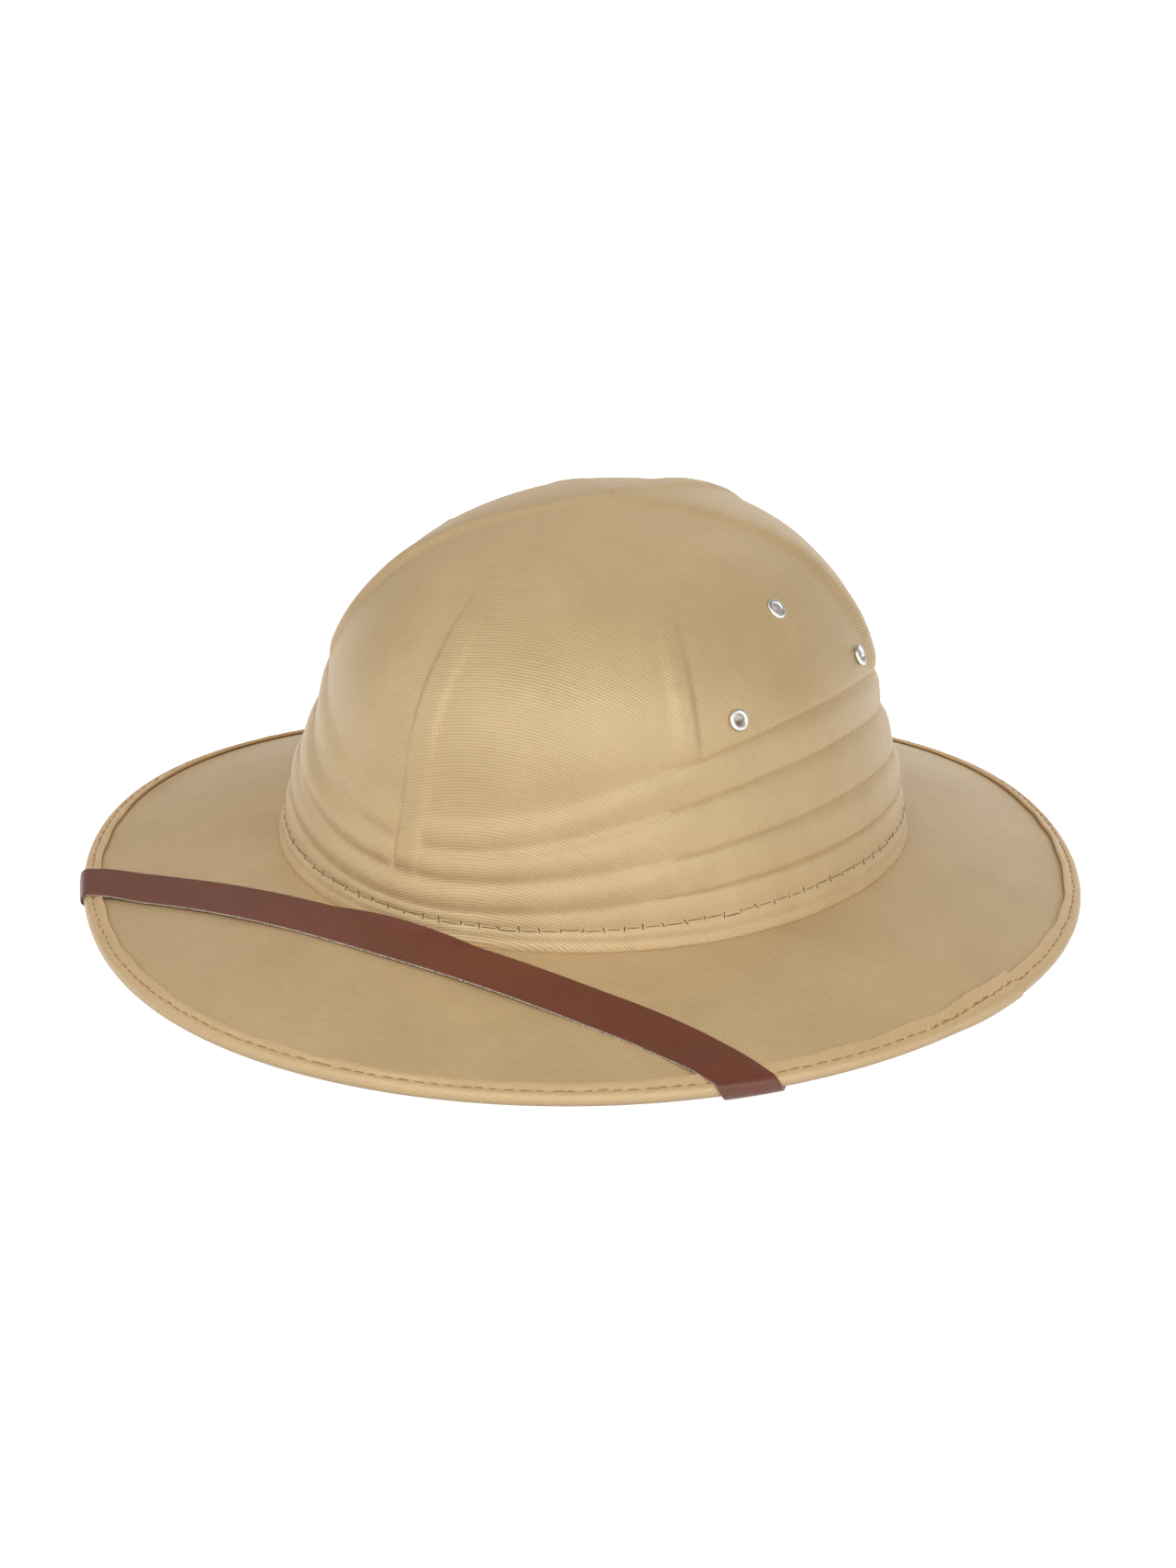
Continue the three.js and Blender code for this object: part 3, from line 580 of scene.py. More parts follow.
def buildTape():
    lap = np.radians(tape["lapTurn"])
    turn = np.linspace(0, fullTurn, 900, endpoint=False)
    turn = np.sort(np.append(turn[np.abs(turn - lap) > 0.004], [lap - 1e-4, lap + 1e-4]))
    grid = rimSection(turn[None], *tapeSection(turn))
    across = runLength(np.concatenate([grid, grid[:1]]))
    across = np.append(across, across[:, :1], 1)
    around = runLength(rimPoint(np.append(turn, fullTurn)))
    uv = np.stack([np.broadcast_to(around, across.shape), across], -1)
    return gridPiece("rimTape", grid, uv, wrapRows=True, sharpDegrees=50)


# ---- chin strap

strap = {"width": 15, "wall": 0.85, "backing": 0.4, "clear": 0.05, "right": -51, "left": 54.5,
         "endClear": 0.02, "hemLean": 2.2, "landDepth": 0.4,
         # degrees of turn where it crosses the rim are above, plan positions in between here
         "route": [(-100, -101.4), (-82, -102.9), (-60, -103.8), (-30, -104.5), (5, -104.7),
                   (40, -102.2), (66, -99.0), (86, -95.3), (103, -93.2)],
         # midway it stands off the brim: the whole band, its inner edge more; where, how far round
         "lift": 0.5, "tilt": 1.3, "liftAt": 110, "liftHalf": 100,
         # the front edge puckers before the rim: where, how long, how much, wave length
         "puckerAt": 200, "puckerHalf": 20, "pucker": 0.55, "puckerWave": 6.5,
         "seatOnCloth": 0.2, "seatUnder": 0.3,  # how far it lies off the brim, above and below
         "climb": (-2, 10)}  # it climbs onto the tape between these distances from the tape's edge


crossingStep = 0.05


def crossing(turn):
    # where the strap crosses the rim: directions along and outward, and the rim's bend there
    before, at, after = (rimPoint(turn + step)[:2] for step in (-crossingStep, 0, crossingStep))
    length = np.linalg.norm(after - before)
    along = (after - before) / length
    bow = np.linalg.norm((before + after) / 2 - at)
    return {"turn": turn, "at": at, "along": along, "out": np.array([along[1], -along[0]]),
            "radius": length ** 2 / 8 / bow, "length": length}


rims = [crossing(np.radians(strap[side])) for side in ("right", "left")]


def strapCourse():
    # centripetal Catmull-Rom through the route, from rim to rim, measured along its length
    knots = np.array([rims[0]["at"], *strap["route"], rims[1]["at"]], float)
    knots = np.vstack([2 * knots[0] - knots[1], knots, 2 * knots[-1] - knots[-2]])
    f = np.linspace(0, 1, 200, endpoint=False)[:, None]
    parts = []
    for i in range(1, len(knots) - 2):
        p0, p1, p2, p3 = knots[i - 1:i + 3]
        d0, d1, d2 = (np.linalg.norm(b - a) ** 0.5 for a, b in ((p0, p1), (p1, p2), (p2, p3)))
        t1 = ((p1 - p0) / d0 - (p2 - p0) / (d0 + d1) + (p2 - p1) / d1) * d1
        t2 = ((p2 - p1) / d1 - (p3 - p1) / (d1 + d2) + (p3 - p2) / d2) * d1
        parts.append(cubic(p1, p2, t1, t2, f))
    points = np.vstack(parts + [knots[-2][None]])
    length = runLength(points)
    return points, unit(np.gradient(points, length, axis=0)), length


coursePoints, courseWays, courseLength = strapCourse()
courseEnd = courseLength[-1]
strapWays = [-courseWays[0], courseWays[-1]]  # straight on past either end


def strapPlan(length, side):
    # a point of the course, side millimetres off its middle, straight on past both ends
    length, side = np.broadcast_arrays(length, side)
    at = np.clip(length, 0, courseEnd)
    point, way = (np.stack([np.interp(at, courseLength, v[:, k]) for k in range(2)], -1)
                  for v in (coursePoints, courseWays))
    way = unit(way)
    across = np.stack([-way[..., 1], way[..., 0]], -1)
    return point + way * (length - at)[..., None] + across * side[..., None]


def brimPlace(plan):
    # the brim's turn and w under a plan position, by stepping along and across its straight lines
    turn = np.arctan2(plan[..., 0] / brim["halfWidth"], -plan[..., 1] / brim["halfLength"])
    w = np.zeros_like(turn)
    innerRadius, rimRadius = 95, 158
    for _ in range(14):
        start, end = brimMiddle(turn, 0.0)[..., :2], brimMiddle(turn, 1.0)[..., :2]
        ray, away = end - start, plan - start
        length = np.linalg.norm(ray, axis=-1)
        w = np.sum(away * ray, -1) / length ** 2
        astray = (away[..., 1] * ray[..., 0] - away[..., 0] * ray[..., 1]) / length
        turn = turn + astray / mix(innerRadius, rimRadius, w)
    return turn, w


def pastRim(rim, length, side):
    # how far a point of the strap is along the rim, and past the start of the rim's rounding
    away = strapPlan(length, side) - rim["at"]
    local = away @ rim["along"]
    return local, away @ rim["out"] + local ** 2 / 2 / rim["radius"] + noseRadius


def columnStart(rim, side):
    # where each long line of the strap reaches the start of the rim's rounding
    spare = 30
    low, high = (spare, -spare) if rim["turn"] < 0 else (courseEnd - spare, courseEnd + spare)
    start = halving(low, high, lambda length: pastRim(rim, length, side)[1] < 0)
    return start, pastRim(rim, start, side)[0]


def strapOnTop(plan, past, off):
    # on the brim, over the tape near the rim, and leaning on the crown's edge where it touches
    turn, w = brimPlace(plan)
    onTape = 1 - smooth(-past - tape["width"], *strap["climb"])
    leaning = strap["hemLean"] * (1 - smooth(w, 0.0, 0.07))
    seat = mix(brim["wall"] / 2 + strap["seatOnCloth"], noseRadius, onTape)
    return brimPoint(turn, w, seat + off + leaning)


def strapBeyond(rim, way, local, past, off):
    # round the rim for half a turn and then straight back under the brim. drift is how far it
    # moves along the rim for each millimetre outward.
    drift = (way @ rim["along"]) / (way @ rim["out"])
    wrap = pi * noseRadius
    local, past, off = np.broadcast_arrays(local, past, off)
    swing = np.minimum(past, wrap) / noseRadius
    reach = noseRadius + off + strap["landDepth"] * smooth(swing, 0, pi)
    turnStep = 2 * crossingStep / rim["length"]
    bend = rimSection(rim["turn"] + (local + np.minimum(past, wrap) * drift) * turnStep,
                      noseRadius - reach * sin(swing), reach * cos(swing))
    bow = (local + wrap * drift) ** 2 / 2 / rim["radius"]
    plan = (rim["at"] + rim["along"] * (local + past * drift)[..., None]
            - rim["out"] * (past - wrap + noseRadius + bow)[..., None])
    turn, w = brimPlace(plan)
    onTape = 1 - smooth(past - wrap - tape["width"], *strap["climb"])
    seat = mix(brim["wall"] / 2 + strap["seatUnder"], noseRadius + strap["landDepth"], onTape)
    return np.where((past <= wrap)[..., None], bend, brimPoint(turn, w, -seat - off))


def strapEnds():
    # the square ends under the brim: the long edge nearest to the crown stops short of it
    ends, sides = [], np.array([-0.5, 0, 0.5]) * strap["width"]
    shortest, longest = 20.0, 110.0
    for rim, way in zip(rims, strapWays):
        start, local = columnStart(rim, sides)
        low = halving(shortest, longest, lambda past: brimPlace(
            strapBeyond(rim, way, local, past, 0.0)[..., :2])[1] > strap["endClear"])
        sign = -1 if rim["turn"] < 0 else 1
        ends.append(sign * np.min(sign * start + low / (way @ rim["out"])))
    return ends


def strapGrid(sides, offs):
    # the section (side, off) carried from the right end, over the brim, to the left end; the rows
    # are askew at the rim, so that each one bends over it all at once
    ends, starts = strapEnds(), [columnStart(rim, sides) for rim in rims]
    wrap = pi * noseRadius

    def beyond(i):
        start, local = starts[i]
        tail = np.abs(ends[i] - start) * (strapWays[i] @ rims[i]["out"])
        bend = np.linspace(0, wrap, 25)[:, None] + 0 * tail
        under = mix(wrap, tail, np.append([0.02, 0.05], np.linspace(0.09, 1, 36))[:, None])
        past = np.concatenate([bend, under])
        return strapBeyond(rims[i], strapWays[i], local, past, offs + 0 * past)

    part = np.linspace(0, 1, 241)[1:-1, None]
    length = mix(starts[0][0], starts[1][0], part)
    past = np.maximum((starts[0][0] - length) * (strapWays[0] @ rims[0]["out"]),
                      (length - starts[1][0]) * (strapWays[1] @ rims[1]["out"]))
    bridge = hump(length, strap["liftAt"], strap["liftHalf"])
    lifted = offs + bridge * (strap["lift"] + strap["tilt"] * (0.5 + sides / strap["width"]))
    frontEdge = np.clip(-2 * sides / strap["width"], 0, 1) ** 5
    pucker = frontEdge * hump(length, strap["puckerAt"], strap["puckerHalf"]) * strap["pucker"]
    pucker = pucker * (0.5 + 0.5 * sin(fullTurn * length / strap["puckerWave"]))
    top = strapOnTop(strapPlan(length, sides - pucker), past, lifted + pucker)
    return np.concatenate([beyond(0)[::-1], top, beyond(1)])


def loopSection(halfWidth, low, high, round_, across=20):
    # a flat band's section as a loop: the upper face with rounded edges, then the lower face
    angle = np.linspace(pi / 2, -pi / 2, 7)
    half = (high - low) / 2
    right = halfWidth - round_ + round_ * cos(angle)
    rise = (high + low) / 2 + half * sin(angle)
    flat = np.linspace(-1, 1, across)[1:-1] * (halfWidth - round_)
    side = np.concatenate([-right[::-1], flat, right, flat[::-1]])
    off = np.concatenate([rise[::-1], np.full(across - 2, high), rise, np.full(across - 2, low)])
    return side, off


def buildStrap():
    # the face over its backing, which shows a little past it
    bottom, top = strap["clear"], strap["clear"] + strap["wall"]
    middle, half = bottom + strap["backing"], strap["width"] / 2
    layers = []
    for name, halfWidth, low, high, round_ in (("strapFace", half, middle, top, 0.45),
                                               ("strapBacking", half + 0.12, bottom, middle, 0.2)):
        grid = strapGrid(*loopSection(halfWidth, low, high, round_))
        along = runLength(grid.mean(1))[:, None]
        across = runLength(np.pad(grid[len(grid) // 2], [(0, 1), (0, 0)], "wrap"))[None]
        uv = np.stack(np.broadcast_arrays(along, across), -1)
        layers.append(gridPiece(name, grid, uv, capped=True, sharpDegrees=60))
    return layers


# ---- eyelets

eyelet = {"places": [(68.2, 59.8), (91.2, 81.9), (113.2, 60.4)],  # degrees of turn, height
          "flange": 3.25, "barrel": 2.3, "bore": 1.75, "hole": 2.5,
          "lift": 0.42, "roll": 0.82}  # the rolled ring's foot off the crown, and its height


def crownSeat(turn, height):
    # a place on the crown's plain face, and the frame that stands there
    u = uAtHeight(height)
    place = crownPoint(turn, u)
    round_ = crownPoint(turn + 0.01, u) - crownPoint(turn - 0.01, u)
    up = crownPoint(turn, u + 0.01) - crownPoint(turn, u - 0.01)
    out = unit(np.cross(round_, up))
    across = unit(round_ - out * np.sum(round_ * out))
    return place, across, np.cross(out, across), out


def lathed(seat, section, around=48):
    # radius and height carried round the seat's outward line
    place, across, up, out = seat
    angle = np.linspace(0, fullTurn, around, endpoint=False)
    radius, height = (np.array(v, float)[:, None, None] for v in zip(*section))
    ring = cos(angle)[:, None] * across + sin(angle)[:, None] * up
    return place + radius * ring[None] + height * out


def eyeletSeats():
    return [(side, i, crownSeat(np.radians(sign * turn), height))
            for side, sign in (("left", 1), ("right", -1))
            for i, (turn, height) in enumerate(eyelet["places"], 1)]


def buildEyelets():
    # a rolled ring in front, the barrel through the wall, and the spread washer inside
    back = -(crown["wall"] + 1.1)
    bore, flange, barrel = eyelet["bore"], eyelet["flange"], eyelet["barrel"]
    middle, half = (bore + flange) / 2, (flange - bore) / 2
    section = [(middle - half * cos(a), eyelet["lift"] + eyelet["roll"] * sin(a) ** 0.8)
               for a in np.linspace(0, pi, 12)]
    section += [(barrel + 0.1, 0.35), (barrel, 0.2), (barrel, back), (flange - 0.4, back),
                (flange - 0.3, back - 0.3), (flange - 0.7, back - 0.6), (bore + 0.4, back - 0.65),
                (bore, back - 0.4)]
    rings = []
    for side, i, seat in eyeletSeats():
        ring = gridPiece(f"eyeletRing_{side}_{i}", lathed(seat, section), wrapRows=True,
                         sharpDegrees=60)
        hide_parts(f"eyelet_{side}_{i}")
        rings.append(ring)
    return rings


def pierce(cover):
    # round holes through the crown's wall where the eyelets stand
    ends = [(eyelet["hole"], 8), (eyelet["hole"], -8)]
    cutters = [gridPiece("cutter", lathed(seat, ends, around=32), capped=True)
               for _, _, seat in eyeletSeats()]
    with bpy.context.temp_override(active_object=cutters[0], selected_editable_objects=cutters):
        bpy.ops.object.join()
    cutter = cutters[0]
    cut = cover.modifiers.new("holes", "BOOLEAN")
    cut.operation, cut.object, cut.solver = "DIFFERENCE", cutter, "MANIFOLD"
    whole = len(cover.data.vertices)
    cutCover = cover.evaluated_get(bpy.context.evaluated_depsgraph_get())
    done = bpy.data.meshes.new_from_object(cutCover)
    cover.modifiers.clear()
    cover.data = done
    done.set_sharp_from_angle(angle=np.radians(50))
    bpy.data.objects.remove(cutter)
    print("eyelet holes:", len(done.vertices) - whole, "points added")


# ---- stitches

crownStitch = {"pace": 6.0, "tall": (0.5, 1.1), "radius": 0.17, "threadRadius": 0.14,
               "stray": 0.003}
tapeStitch = {"pace": 4.4, "span": (0.5, 0.85), "radius": 0.15,
              "secondRow": (-0.26, -0.02), "secondDrop": 0.35}  # turns before the lap, further in
fray = {"count": 26, "reach": (0.3, 1.5), "radius": 0.1, "rimRadius": 155}


def evenPlaces(pointOf, pace):
    # turns a fixed distance apart along a closed line
    turn = np.linspace(0, fullTurn, 4001)
    length = runLength(pointOf(turn))
    count = int(round(length[-1] / pace))
    return np.interp(np.arange(count) * length[-1] / count, length, turn)


def seamLine(turn, rise=0.0, off=0.0):
    u = uAtHeight(foldHeight(4, turn) + rise)
    return crownPoint(turn, u, crownRelief(turn, u) + off)


def buildCrownStitches():
    rng = np.random.default_rng(21)
    turn = evenPlaces(seamLine, crownStitch["pace"])
    turn = (turn + rng.normal(0, crownStitch["stray"], turn.size))[:, None]
    column = turn.shape
    # ticks across the seam
    t = np.linspace(-1, 1, 7)[None]
    tall = rng.uniform(*crownStitch["tall"], column)
    slant, up = rng.normal(0, crownStitch["stray"], column), rng.normal(0.1, 0.15, column)
    line = seamLine(turn + slant * t, tall * t + up, 0.2 * (1 - t ** 4) - 0.12)
    ups = unit(unit(line - [0, crown["back"], 0]) * [1, 1, 0.2])
    radii = np.broadcast_to(crownStitch["radius"] * (1 - 0.35 * t ** 4), line.shape[:2])
    ticks = tubesPiece("seamTicks", line, ups, radii)
    # the thread that runs between them
    part = np.linspace(0.1, 0.9, 7)[None]
    ahead = np.append(turn[1:], turn[:1] + fullTurn, 0)
    line = seamLine(mix(turn, ahead, part), rng.normal(0, 0.2, column) + 0 * part,
                    0.12 * sin(pi * part) - 0.04)
    radii = np.full(line.shape[:2], crownStitch["threadRadius"])
    return ticks, tubesPiece("seamThread", line, unit(line * [1, 1, 0.2]), radii, 5)


def buildTapeStitches():
    # one bowed thread for each stitch, uneven in length and slant; a second row holds the lap
    rng = np.random.default_rng(22)
    turn = evenPlaces(rimPoint, tapeStitch["pace"])
    step = np.diff(np.append(turn, turn[0] + fullTurn))
    beforeLap = turn - np.radians(tape["lapTurn"])
    held = (beforeLap > tapeStitch["secondRow"][0]) & (beforeLap < tapeStitch["secondRow"][1])
    part = np.linspace(0.0, 1.0, 6)[None]
    pieces = []
    for name, sign in (("tapeThreadTop", 1), ("tapeThreadUnder", -1)):
        starts = turn + rng.normal(0, 0.08, turn.size) * step
        spans = step * rng.uniform(*tapeStitch["span"], turn.size)
        drops, slants = rng.normal(0, 0.13, turn.size), rng.normal(0, 0.12, turn.size)
        if sign > 0:
            starts = np.append(starts, turn[held] + 0.4 * step[held])
            spans = np.append(spans, spans[held] * 0.8)
            drops = np.append(drops, drops[held] + tapeStitch["secondDrop"])
            slants = np.append(slants, rng.choice([-0.6, 0.6], held.sum()))
        at = starts[:, None] + spans[:, None] * part
        inward = tape["stitchInward"] + drops[:, None] + slants[:, None] * (part - 0.5)
        lift = noseRadius - 0.08
        if sign > 0:
            extra = lapExtra(at)
            lift = noseRadius + 0.1 + extra - tape["groove"] * (1 - 0.8 * smooth(extra, 0.4, 1.0))
        place = rimSection(at, inward, sign * (lift + 0.2 * sin(pi * part) - 0.1))
        up = brimFrame(at, rimEdge)[1] * sign
        pieces.append(tubesPiece(name, place, up, np.full(at.shape, tapeStitch["radius"]), 5))
    return pieces


def buildFray():
    # loose ends of yarn along the tape's cut end, each a short bent tube
    rng = np.random.default_rng(23)
    t, column, behind = np.linspace(0, 1, 5)[None], (fray["count"], 1), 0.004
    inward = rng.uniform(0.3, tape["width"] + 0.8, column)
    reach = rng.uniform(*fray["reach"], column) / fray["rimRadius"] + behind
    extra = tape["lapRise"] * rng.uniform(0.35, 1.0, column)
    nose = np.minimum(inward / noseRadius, 1)
    rise = noseRadius * np.sqrt(np.maximum(nose * (2 - nose), 0)) + extra * nose
    bend = rng.normal(0, 0.7, column)
    turn = np.radians(tape["lapTurn"]) - behind + reach * t
    place = rimSection(turn, inward + bend * t ** 2, rise - 0.12 - 0.7 * t ** 2)
    up = brimFrame(np.full(turn.shape, np.radians(tape["lapTurn"])), rimEdge)[1]
    radii = np.broadcast_to(fray["radius"] * (1 - 0.5 * t), turn.shape)
    return tubesPiece("tapeFray", place, up, radii, 5)


# ---- materials

class Nodes:
    # a short way to lay out the nodes of a material or the world
    def __init__(self, owner, **sockets):
        owner.use_nodes = True
        self.owner, self.tree = owner, owner.node_tree
        self.shader = next(node for node in self.tree.nodes if "Output" not in node.name)
        self.put(self.shader, {key.replace("_", " "): value for key, value in sockets.items()})

    def put(self, node, values):
        for key, value in values.items():
            if isinstance(value, bpy.types.NodeSocket):
                self.tree.links.new(value, node.inputs[key])
            else:
                node.inputs[key].default_value = value

    def add(self, kind, values=None, **settings):
        node = self.tree.nodes.new("ShaderNode" + kind)
        for key, value in settings.items():
            setattr(node, key, value)
        self.put(node, values or {})
        return node.outputs

    def cloth(self):
        return self.add("UVMap", uv_map="cloth")[0]

    def noise(self, place, scale, detail=2.0, roughness=0.5):
        values = {"Vector": place, "Scale": scale, "Detail": detail, "Roughness": roughness}
        return self.add("TexNoise", values)[0]

    def total(self, *parts):
        # the sum of (value, weight) pairs
        result = 0.0
        for value, weight in parts:
            result = self.add("Math", {0: value, 1: weight, 2: result}, operation="MULTIPLY_ADD")[0]
        return result

    def blend(self, factor, dark, light):
        return self.add("Mix", {0: factor, 6: dark, 7: light}, data_type="RGBA")[2]

    def spread(self, value, low, high, newLow=0.0, newHigh=1.0):
        return self.add("MapRange", {0: value, 1: low, 2: high, 3: newLow, 4: newHigh})[0]

    def finish(self, colour, roughness, height, strength, depth):
        bump = self.add("Bump", {"Height": height, "Strength": strength, "Distance": depth})[0]
        self.put(self.shader, {"Base Color": colour, "Roughness": roughness, "Normal": bump})
        return self.owner


def sRgb(red, green, blue):
    # display values 0 to 255 into linear ones
    v = np.array([red, green, blue]) / 255
    return tuple(np.where(v < 0.04045, v / 12.92, ((v + 0.055) / 1.055) ** 2.4)) + (1.0,)


twill = {"light": sRgb(231, 200, 153), "dark": sRgb(179, 147, 101), "pitch": 0.9, "depth": 0.00016,
         "crossRibs": 1.0, "turn": 0}
brimTwill = dict(twill, light=sRgb(227, 197, 151), dark=sRgb(175, 144, 99), pitch=0.83)
tapeTwill = dict(twill, light=sRgb(238, 202, 154), dark=sRgb(204, 170, 122), pitch=0.8,
                 crossRibs=0.3, turn=45)
leather = {"dark": sRgb(102, 52, 33), "light": sRgb(128, 69, 46), "grain": 1.6, "depth": 0.00008}
backingWeave = {"dark": sRgb(84, 62, 48), "light": sRgb(228, 216, 198), "flecks": 1.6,
                "depth": 0.0002}
nickel = {"dark": sRgb(222, 220, 216), "light": sRgb(248, 247, 244), "tones": (0.3, 0.7),
          "scale": 900, "detail": 4, "dull": (0.3, 0.7, 0.38, 0.55), "relief": (0.15, 0.00005),
          "sockets": {"Metallic": 1.0, "Roughness": 0.45}}
thread = {"tones": (0.35, 0.65), "scale": 3500, "detail": 2, "dull": (0.3, 0.7, 0.85, 0.7),
          "relief": (0.5, 0.0001),
          "sockets": {"Roughness": 0.8, "Sheen_Weight": 0.03, "Specular_IOR_Level": 0.2,
                      "Specular_Tint": (1.0, 0.8, 0.6, 1.0)}}
seamThread = dict(thread, dark=sRgb(62, 40, 26), light=sRgb(100, 70, 46))
tapeThread = dict(thread, dark=sRgb(160, 108, 66), light=sRgb(194, 146, 98))
fringe = dict(thread, dark=sRgb(206, 176, 134), light=sRgb(232, 208, 172))
paleFloor = {"dark": (0.9, 0.9, 0.9, 1), "light": (0.92, 0.92, 0.92, 1), "tones": (0, 1),
             "scale": 40, "detail": 2, "dull": (0, 1, 0.88, 0.92), "relief": (0.02, 0.0002),
             "sockets": {"Roughness": 0.9, "Specular_IOR_Level": 0.1,
                         "Emission_Color": (1, 1, 1, 1), "Emission_Strength": 0.9}}


def clothMaterial(name, cloth):
    # ribs of yarn both ways over the cloth's own map, with slubs, soft blotches and a brushed sheen
    n = Nodes(bpy.data.materials.new(name), Roughness=0.42, Sheen_Weight=0.05,
              Sheen_Roughness=0.4, IOR=1.75, Specular_IOR_Level=1.0,
              Sheen_Tint=(1.0, 0.93, 0.8, 1.0), Specular_Tint=(1.0, 0.83, 0.56, 1.0))
    flat = n.cloth()
    aslant = n.add("Mapping", {"Vector": flat, "Rotation": (0, 0, np.radians(cloth["turn"]))})[0]
    rib = {"Vector": aslant, "Scale": pi / 10 / cloth["pitch"], "Distortion": 1.1, "Detail": 2.0,
           "Detail Scale": 1.2, "Detail Roughness": 0.6}
    ribs = [n.add("TexWave", dict(rib, **{"Phase Offset": phase}), wave_type="BANDS",
                  bands_direction=way, wave_profile="SIN")[1]
            for way, phase in (("Y", 0.0), ("X", 31.0))]
    share = 1 / (1 + cloth["crossRibs"])
    yarns = n.total((ribs[0], share), (ribs[1], 1 - share))
    fine, blotch = n.noise(flat, 2.2, 3, 0.65), n.noise(flat, 0.035, 4, 0.6)
    slubs = n.noise(n.add("Mapping", {"Vector": aslant, "Scale": (0.06, 1.4, 1.0)})[0], 1, 3)
    tone = n.total((yarns, 0.5), (fine, 0.34), (slubs, 0.22), (blotch, 0.3))
    colour = n.blend(n.spread(tone, 0.38, 0.92), cloth["dark"], cloth["light"])
    height = n.total((yarns, 0.75), (fine, 0.5))
    return n.finish(colour, n.spread(yarns, 0, 1, 0.46, 0.38), height, 0.8, cloth["depth"])


def leatherMaterial():
    # fine pebbled grain, reddish brown, with duller rubbed patches
    n = Nodes(bpy.data.materials.new("leatherette"), Roughness=0.42, Specular_IOR_Level=0.7,
              Coat_Weight=0.1, Coat_Roughness=0.35, Specular_Tint=(1.0, 0.84, 0.78, 1.0))
    flat = n.cloth()
    cells = n.add("TexVoronoi", {"Vector": flat, "Scale": leather["grain"], "Randomness": 1.0},
                  feature="DISTANCE_TO_EDGE")["Distance"]
    grain, patch = n.noise(flat, 1.1, 5, 0.65), n.noise(flat, 0.05, 3)
    tone = n.total((grain, 0.6), (patch, 0.5))
    colour = n.blend(n.spread(tone, 0.35, 0.8), leather["dark"], leather["light"])
    height = n.total((n.spread(cells, 0, 0.25), 0.5), (grain, 0.6))
    return n.finish(colour, n.spread(patch, 0.3, 0.7, 0.36, 0.5), height, 0.5, leather["depth"])


def backingMaterial():
    # dark woven backing with pale flecks of thread
    n = Nodes(bpy.data.materials.new("strapBackingCloth"), Roughness=0.9, Sheen_Weight=0.02,
              Specular_IOR_Level=0.2)
    flat = n.cloth()
    flecks = n.noise(flat, backingWeave["flecks"], 4, 0.75)
    wave = n.add("TexWave", {"Vector": flat, "Scale": 0.45, "Distortion": 3.0, "Detail": 2.0})[1]
    pale = n.spread(n.total((flecks, 1), (wave, 0.15)), 0.44, 0.64)
    colour = n.blend(pale, backingWeave["dark"], backingWeave["light"])
    dull = n.spread(flecks, 0.3, 0.7, 0.95, 0.8)
    return n.finish(colour, dull, flecks, 0.8, backingWeave["depth"])


def grainyMaterial(name, grain):
    # one noise through space for tone, dullness and relief: plated metal, twisted thread, floor
    n = Nodes(bpy.data.materials.new(name), **grain["sockets"])
    marks = n.noise(n.add("TexCoord")["Object"], grain["scale"], grain["detail"])
    colour = n.blend(n.spread(marks, *grain["tones"]), grain["dark"], grain["light"])
    return n.finish(colour, n.spread(marks, *grain["dull"]), marks, *grain["relief"])


# ---- building the hat

def ready(piece, material, slot, *nodes):
    piece.data.materials.clear()
    piece.data.materials.append(material)
    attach(piece, "root")
    if nodes:
        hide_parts(*nodes)


crownCover = buildCrown()
pierce(crownCover)
ready(crownCover, clothMaterial("twillCrown", twill), "twill", "crown")
print("crown:", len(crownCover.data.polygons), "faces")

brimCover = buildBrim()
ready(brimCover, clothMaterial("twillBrim", brimTwill), "twill", "brim")
print("brim:", len(brimCover.data.polygons), "faces")

rimTape = buildTape()
ready(rimTape, clothMaterial("twillBinding", tapeTwill), "binding_twill", "edge_binding")
print("rim tape:", len(rimTape.data.polygons), "faces")

strapFace, strapBacking = buildStrap()
ready(strapFace, leatherMaterial(), "leatherette", "chin_strap")
ready(strapBacking, backingMaterial(), "leatherette")
print("chin strap:", len(strapFace.data.polygons) + len(strapBacking.data.polygons), "faces")

for pieces, finish, slot in (
        (buildEyelets(), grainyMaterial("nickel", nickel), "nickel"),
        (buildCrownStitches(), grainyMaterial("seamThreadFinish", seamThread), "twill"),
        (buildTapeStitches(), grainyMaterial("tapeThreadFinish", tapeThread), "binding_twill"),
        ([buildFray()], grainyMaterial("fringeFinish", fringe), "binding_twill")):
    for piece in pieces:
        ready(piece, finish, slot)
print("eyelets and stitches placed")

# ---- floor, lights and camera

floorMesh = bpy.data.meshes.new("floor")
floorMesh.from_pydata([(-12, -12, 0), (12, -12, 0), (12, 12, 0), (-12, 12, 0)], [], [(0, 1, 2, 3)])
floor = bpy.data.objects.new("floor", floorMesh)
bpy.context.scene.collection.objects.link(floor)
floorMesh.materials.append(grainyMaterial("paleFloor", paleFloor))
floor.visible_diffuse = False  # it throws no light back up onto the hat

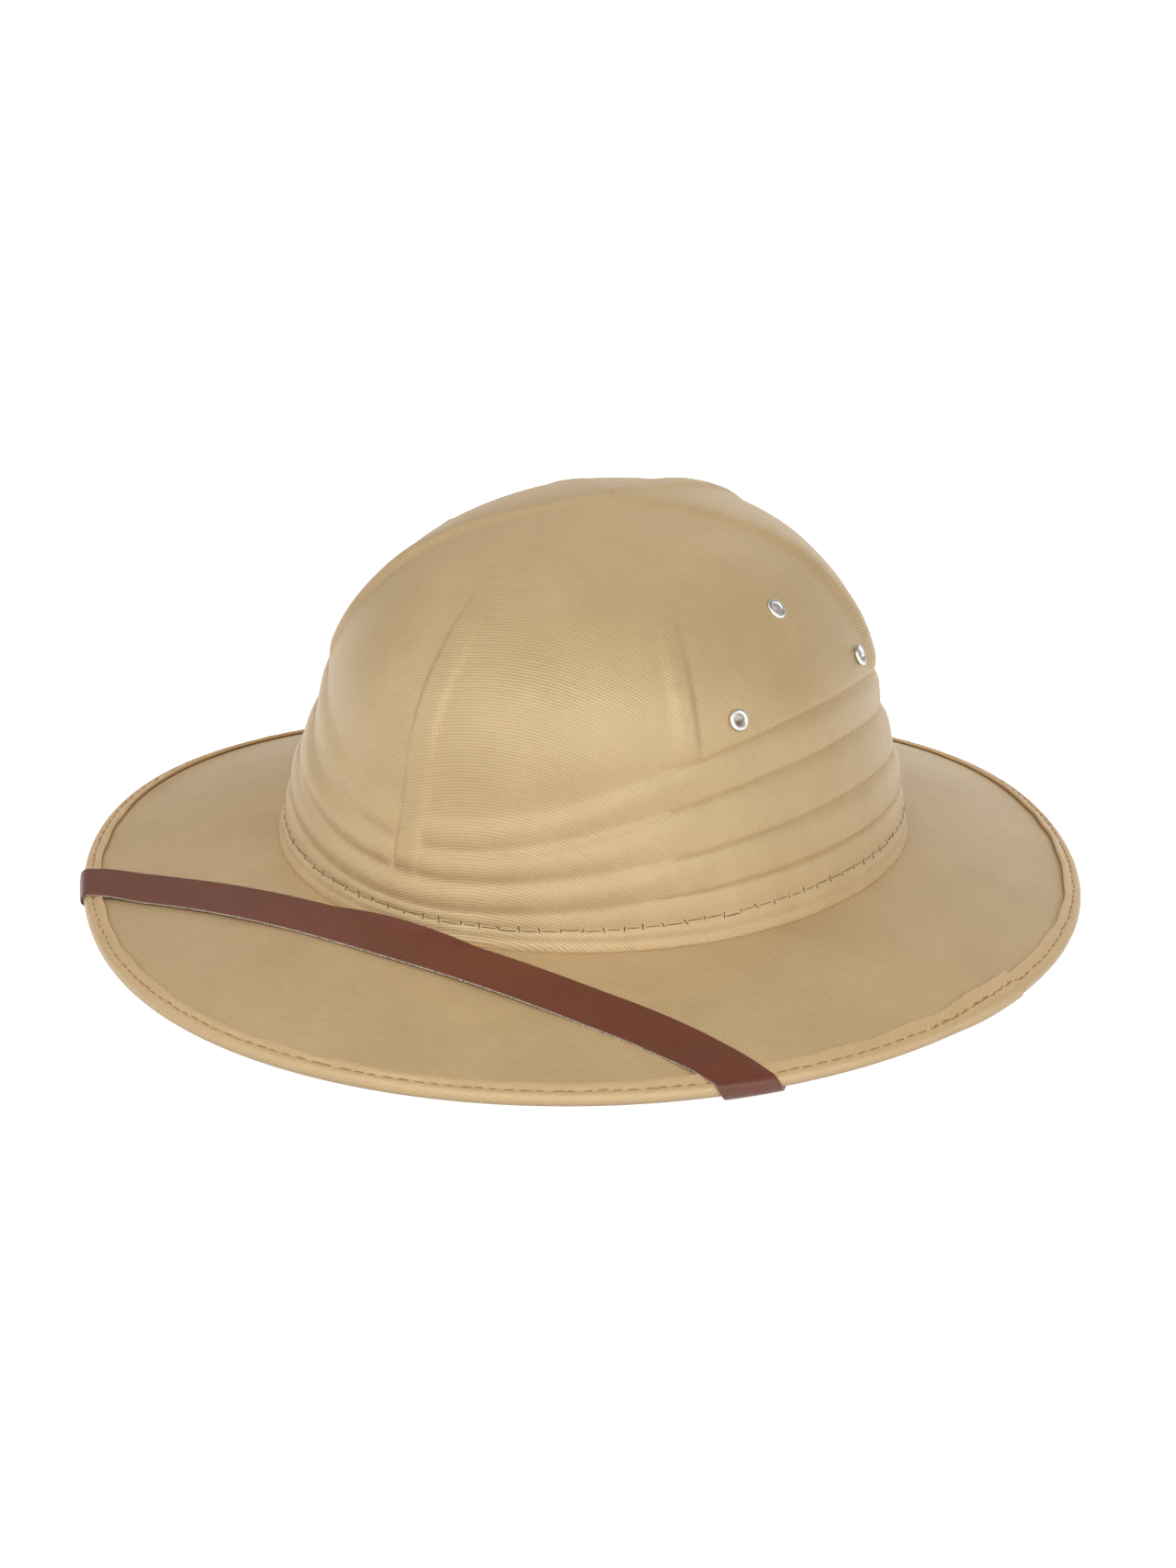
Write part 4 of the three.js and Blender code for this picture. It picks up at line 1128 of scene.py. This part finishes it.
# dim all round, dimmer from below the horizon, which is blurred
world = bpy.data.worlds.new("studio")
bpy.context.scene.world = world
sky = Nodes(world, Color=(1, 1, 1, 1))
upward = sky.add("SeparateXYZ", {0: sky.add("TexCoord")[0]})[2]
sky.put(sky.shader, {"Strength": sky.spread(upward, -0.1, 0.1, 0.05, 0.13)})

# each lamp: azimuth it comes from (0 is the hat's front, 90 its left), height, strength, softness
# in degrees, and whether it shows in the gloss
lamps = {
    "key": (30, 35, 1.05, 24, True),
    "front": (0, 34, 0.28, 30, True),
    "frontLeft": (60, 32, 0.46, 28, True),
    "left": (92, 21, 0.62, 30, True),
    "right": (-48, 27, 0.72, 36, True),
    "back": (188, 12, 0.35, 45, True),
    "backFill": (205, 24, 0.65, 45, False),
    "backRight": (-110, 40, 0.2, 45, True),
    "above": (215, 60, 0.08, 45, True),
}
for name, (azimuth, height, strength, softness, glints) in lamps.items():
    light = bpy.data.lights.new(name, "SUN")
    light.energy = strength
    light.angle = np.radians(softness)
    holder = bpy.data.objects.new(name, light)
    holder.visible_glossy = glints
    a, h = np.radians(azimuth), np.radians(height)
    away = Vector((sin(a) * cos(h), -cos(a) * cos(h), sin(h)))
    holder.rotation_euler = away.to_track_quat("Z", "Y").to_euler()
    holder.location = away * 3
    bpy.context.scene.collection.objects.link(holder)

view = {"place": (1.04436, -1.613717, 0.775403), "aim": (0.002966, -0.008008, 0.041154),
        "roll": 3.531, "lens": 158.14}
lens = bpy.data.cameras.new("camera")
lens.lens = view["lens"]
lens.sensor_width = 36
lens.clip_end = 60
back = (Vector(view["place"]) - Vector(view["aim"])).normalized()
level = Vector((-back.y, back.x, 0)).normalized()
right = Matrix.Rotation(np.radians(view["roll"]), 3, back) @ level
camera = bpy.data.objects.new("camera", lens)
camera.matrix_world = Matrix.Translation(view["place"]) @ Matrix(
    (right, back.cross(right), back)).transposed().to_4x4()
bpy.context.scene.collection.objects.link(camera)
bpy.context.scene.camera = camera
bpy.context.scene.view_settings.view_transform = "Standard"
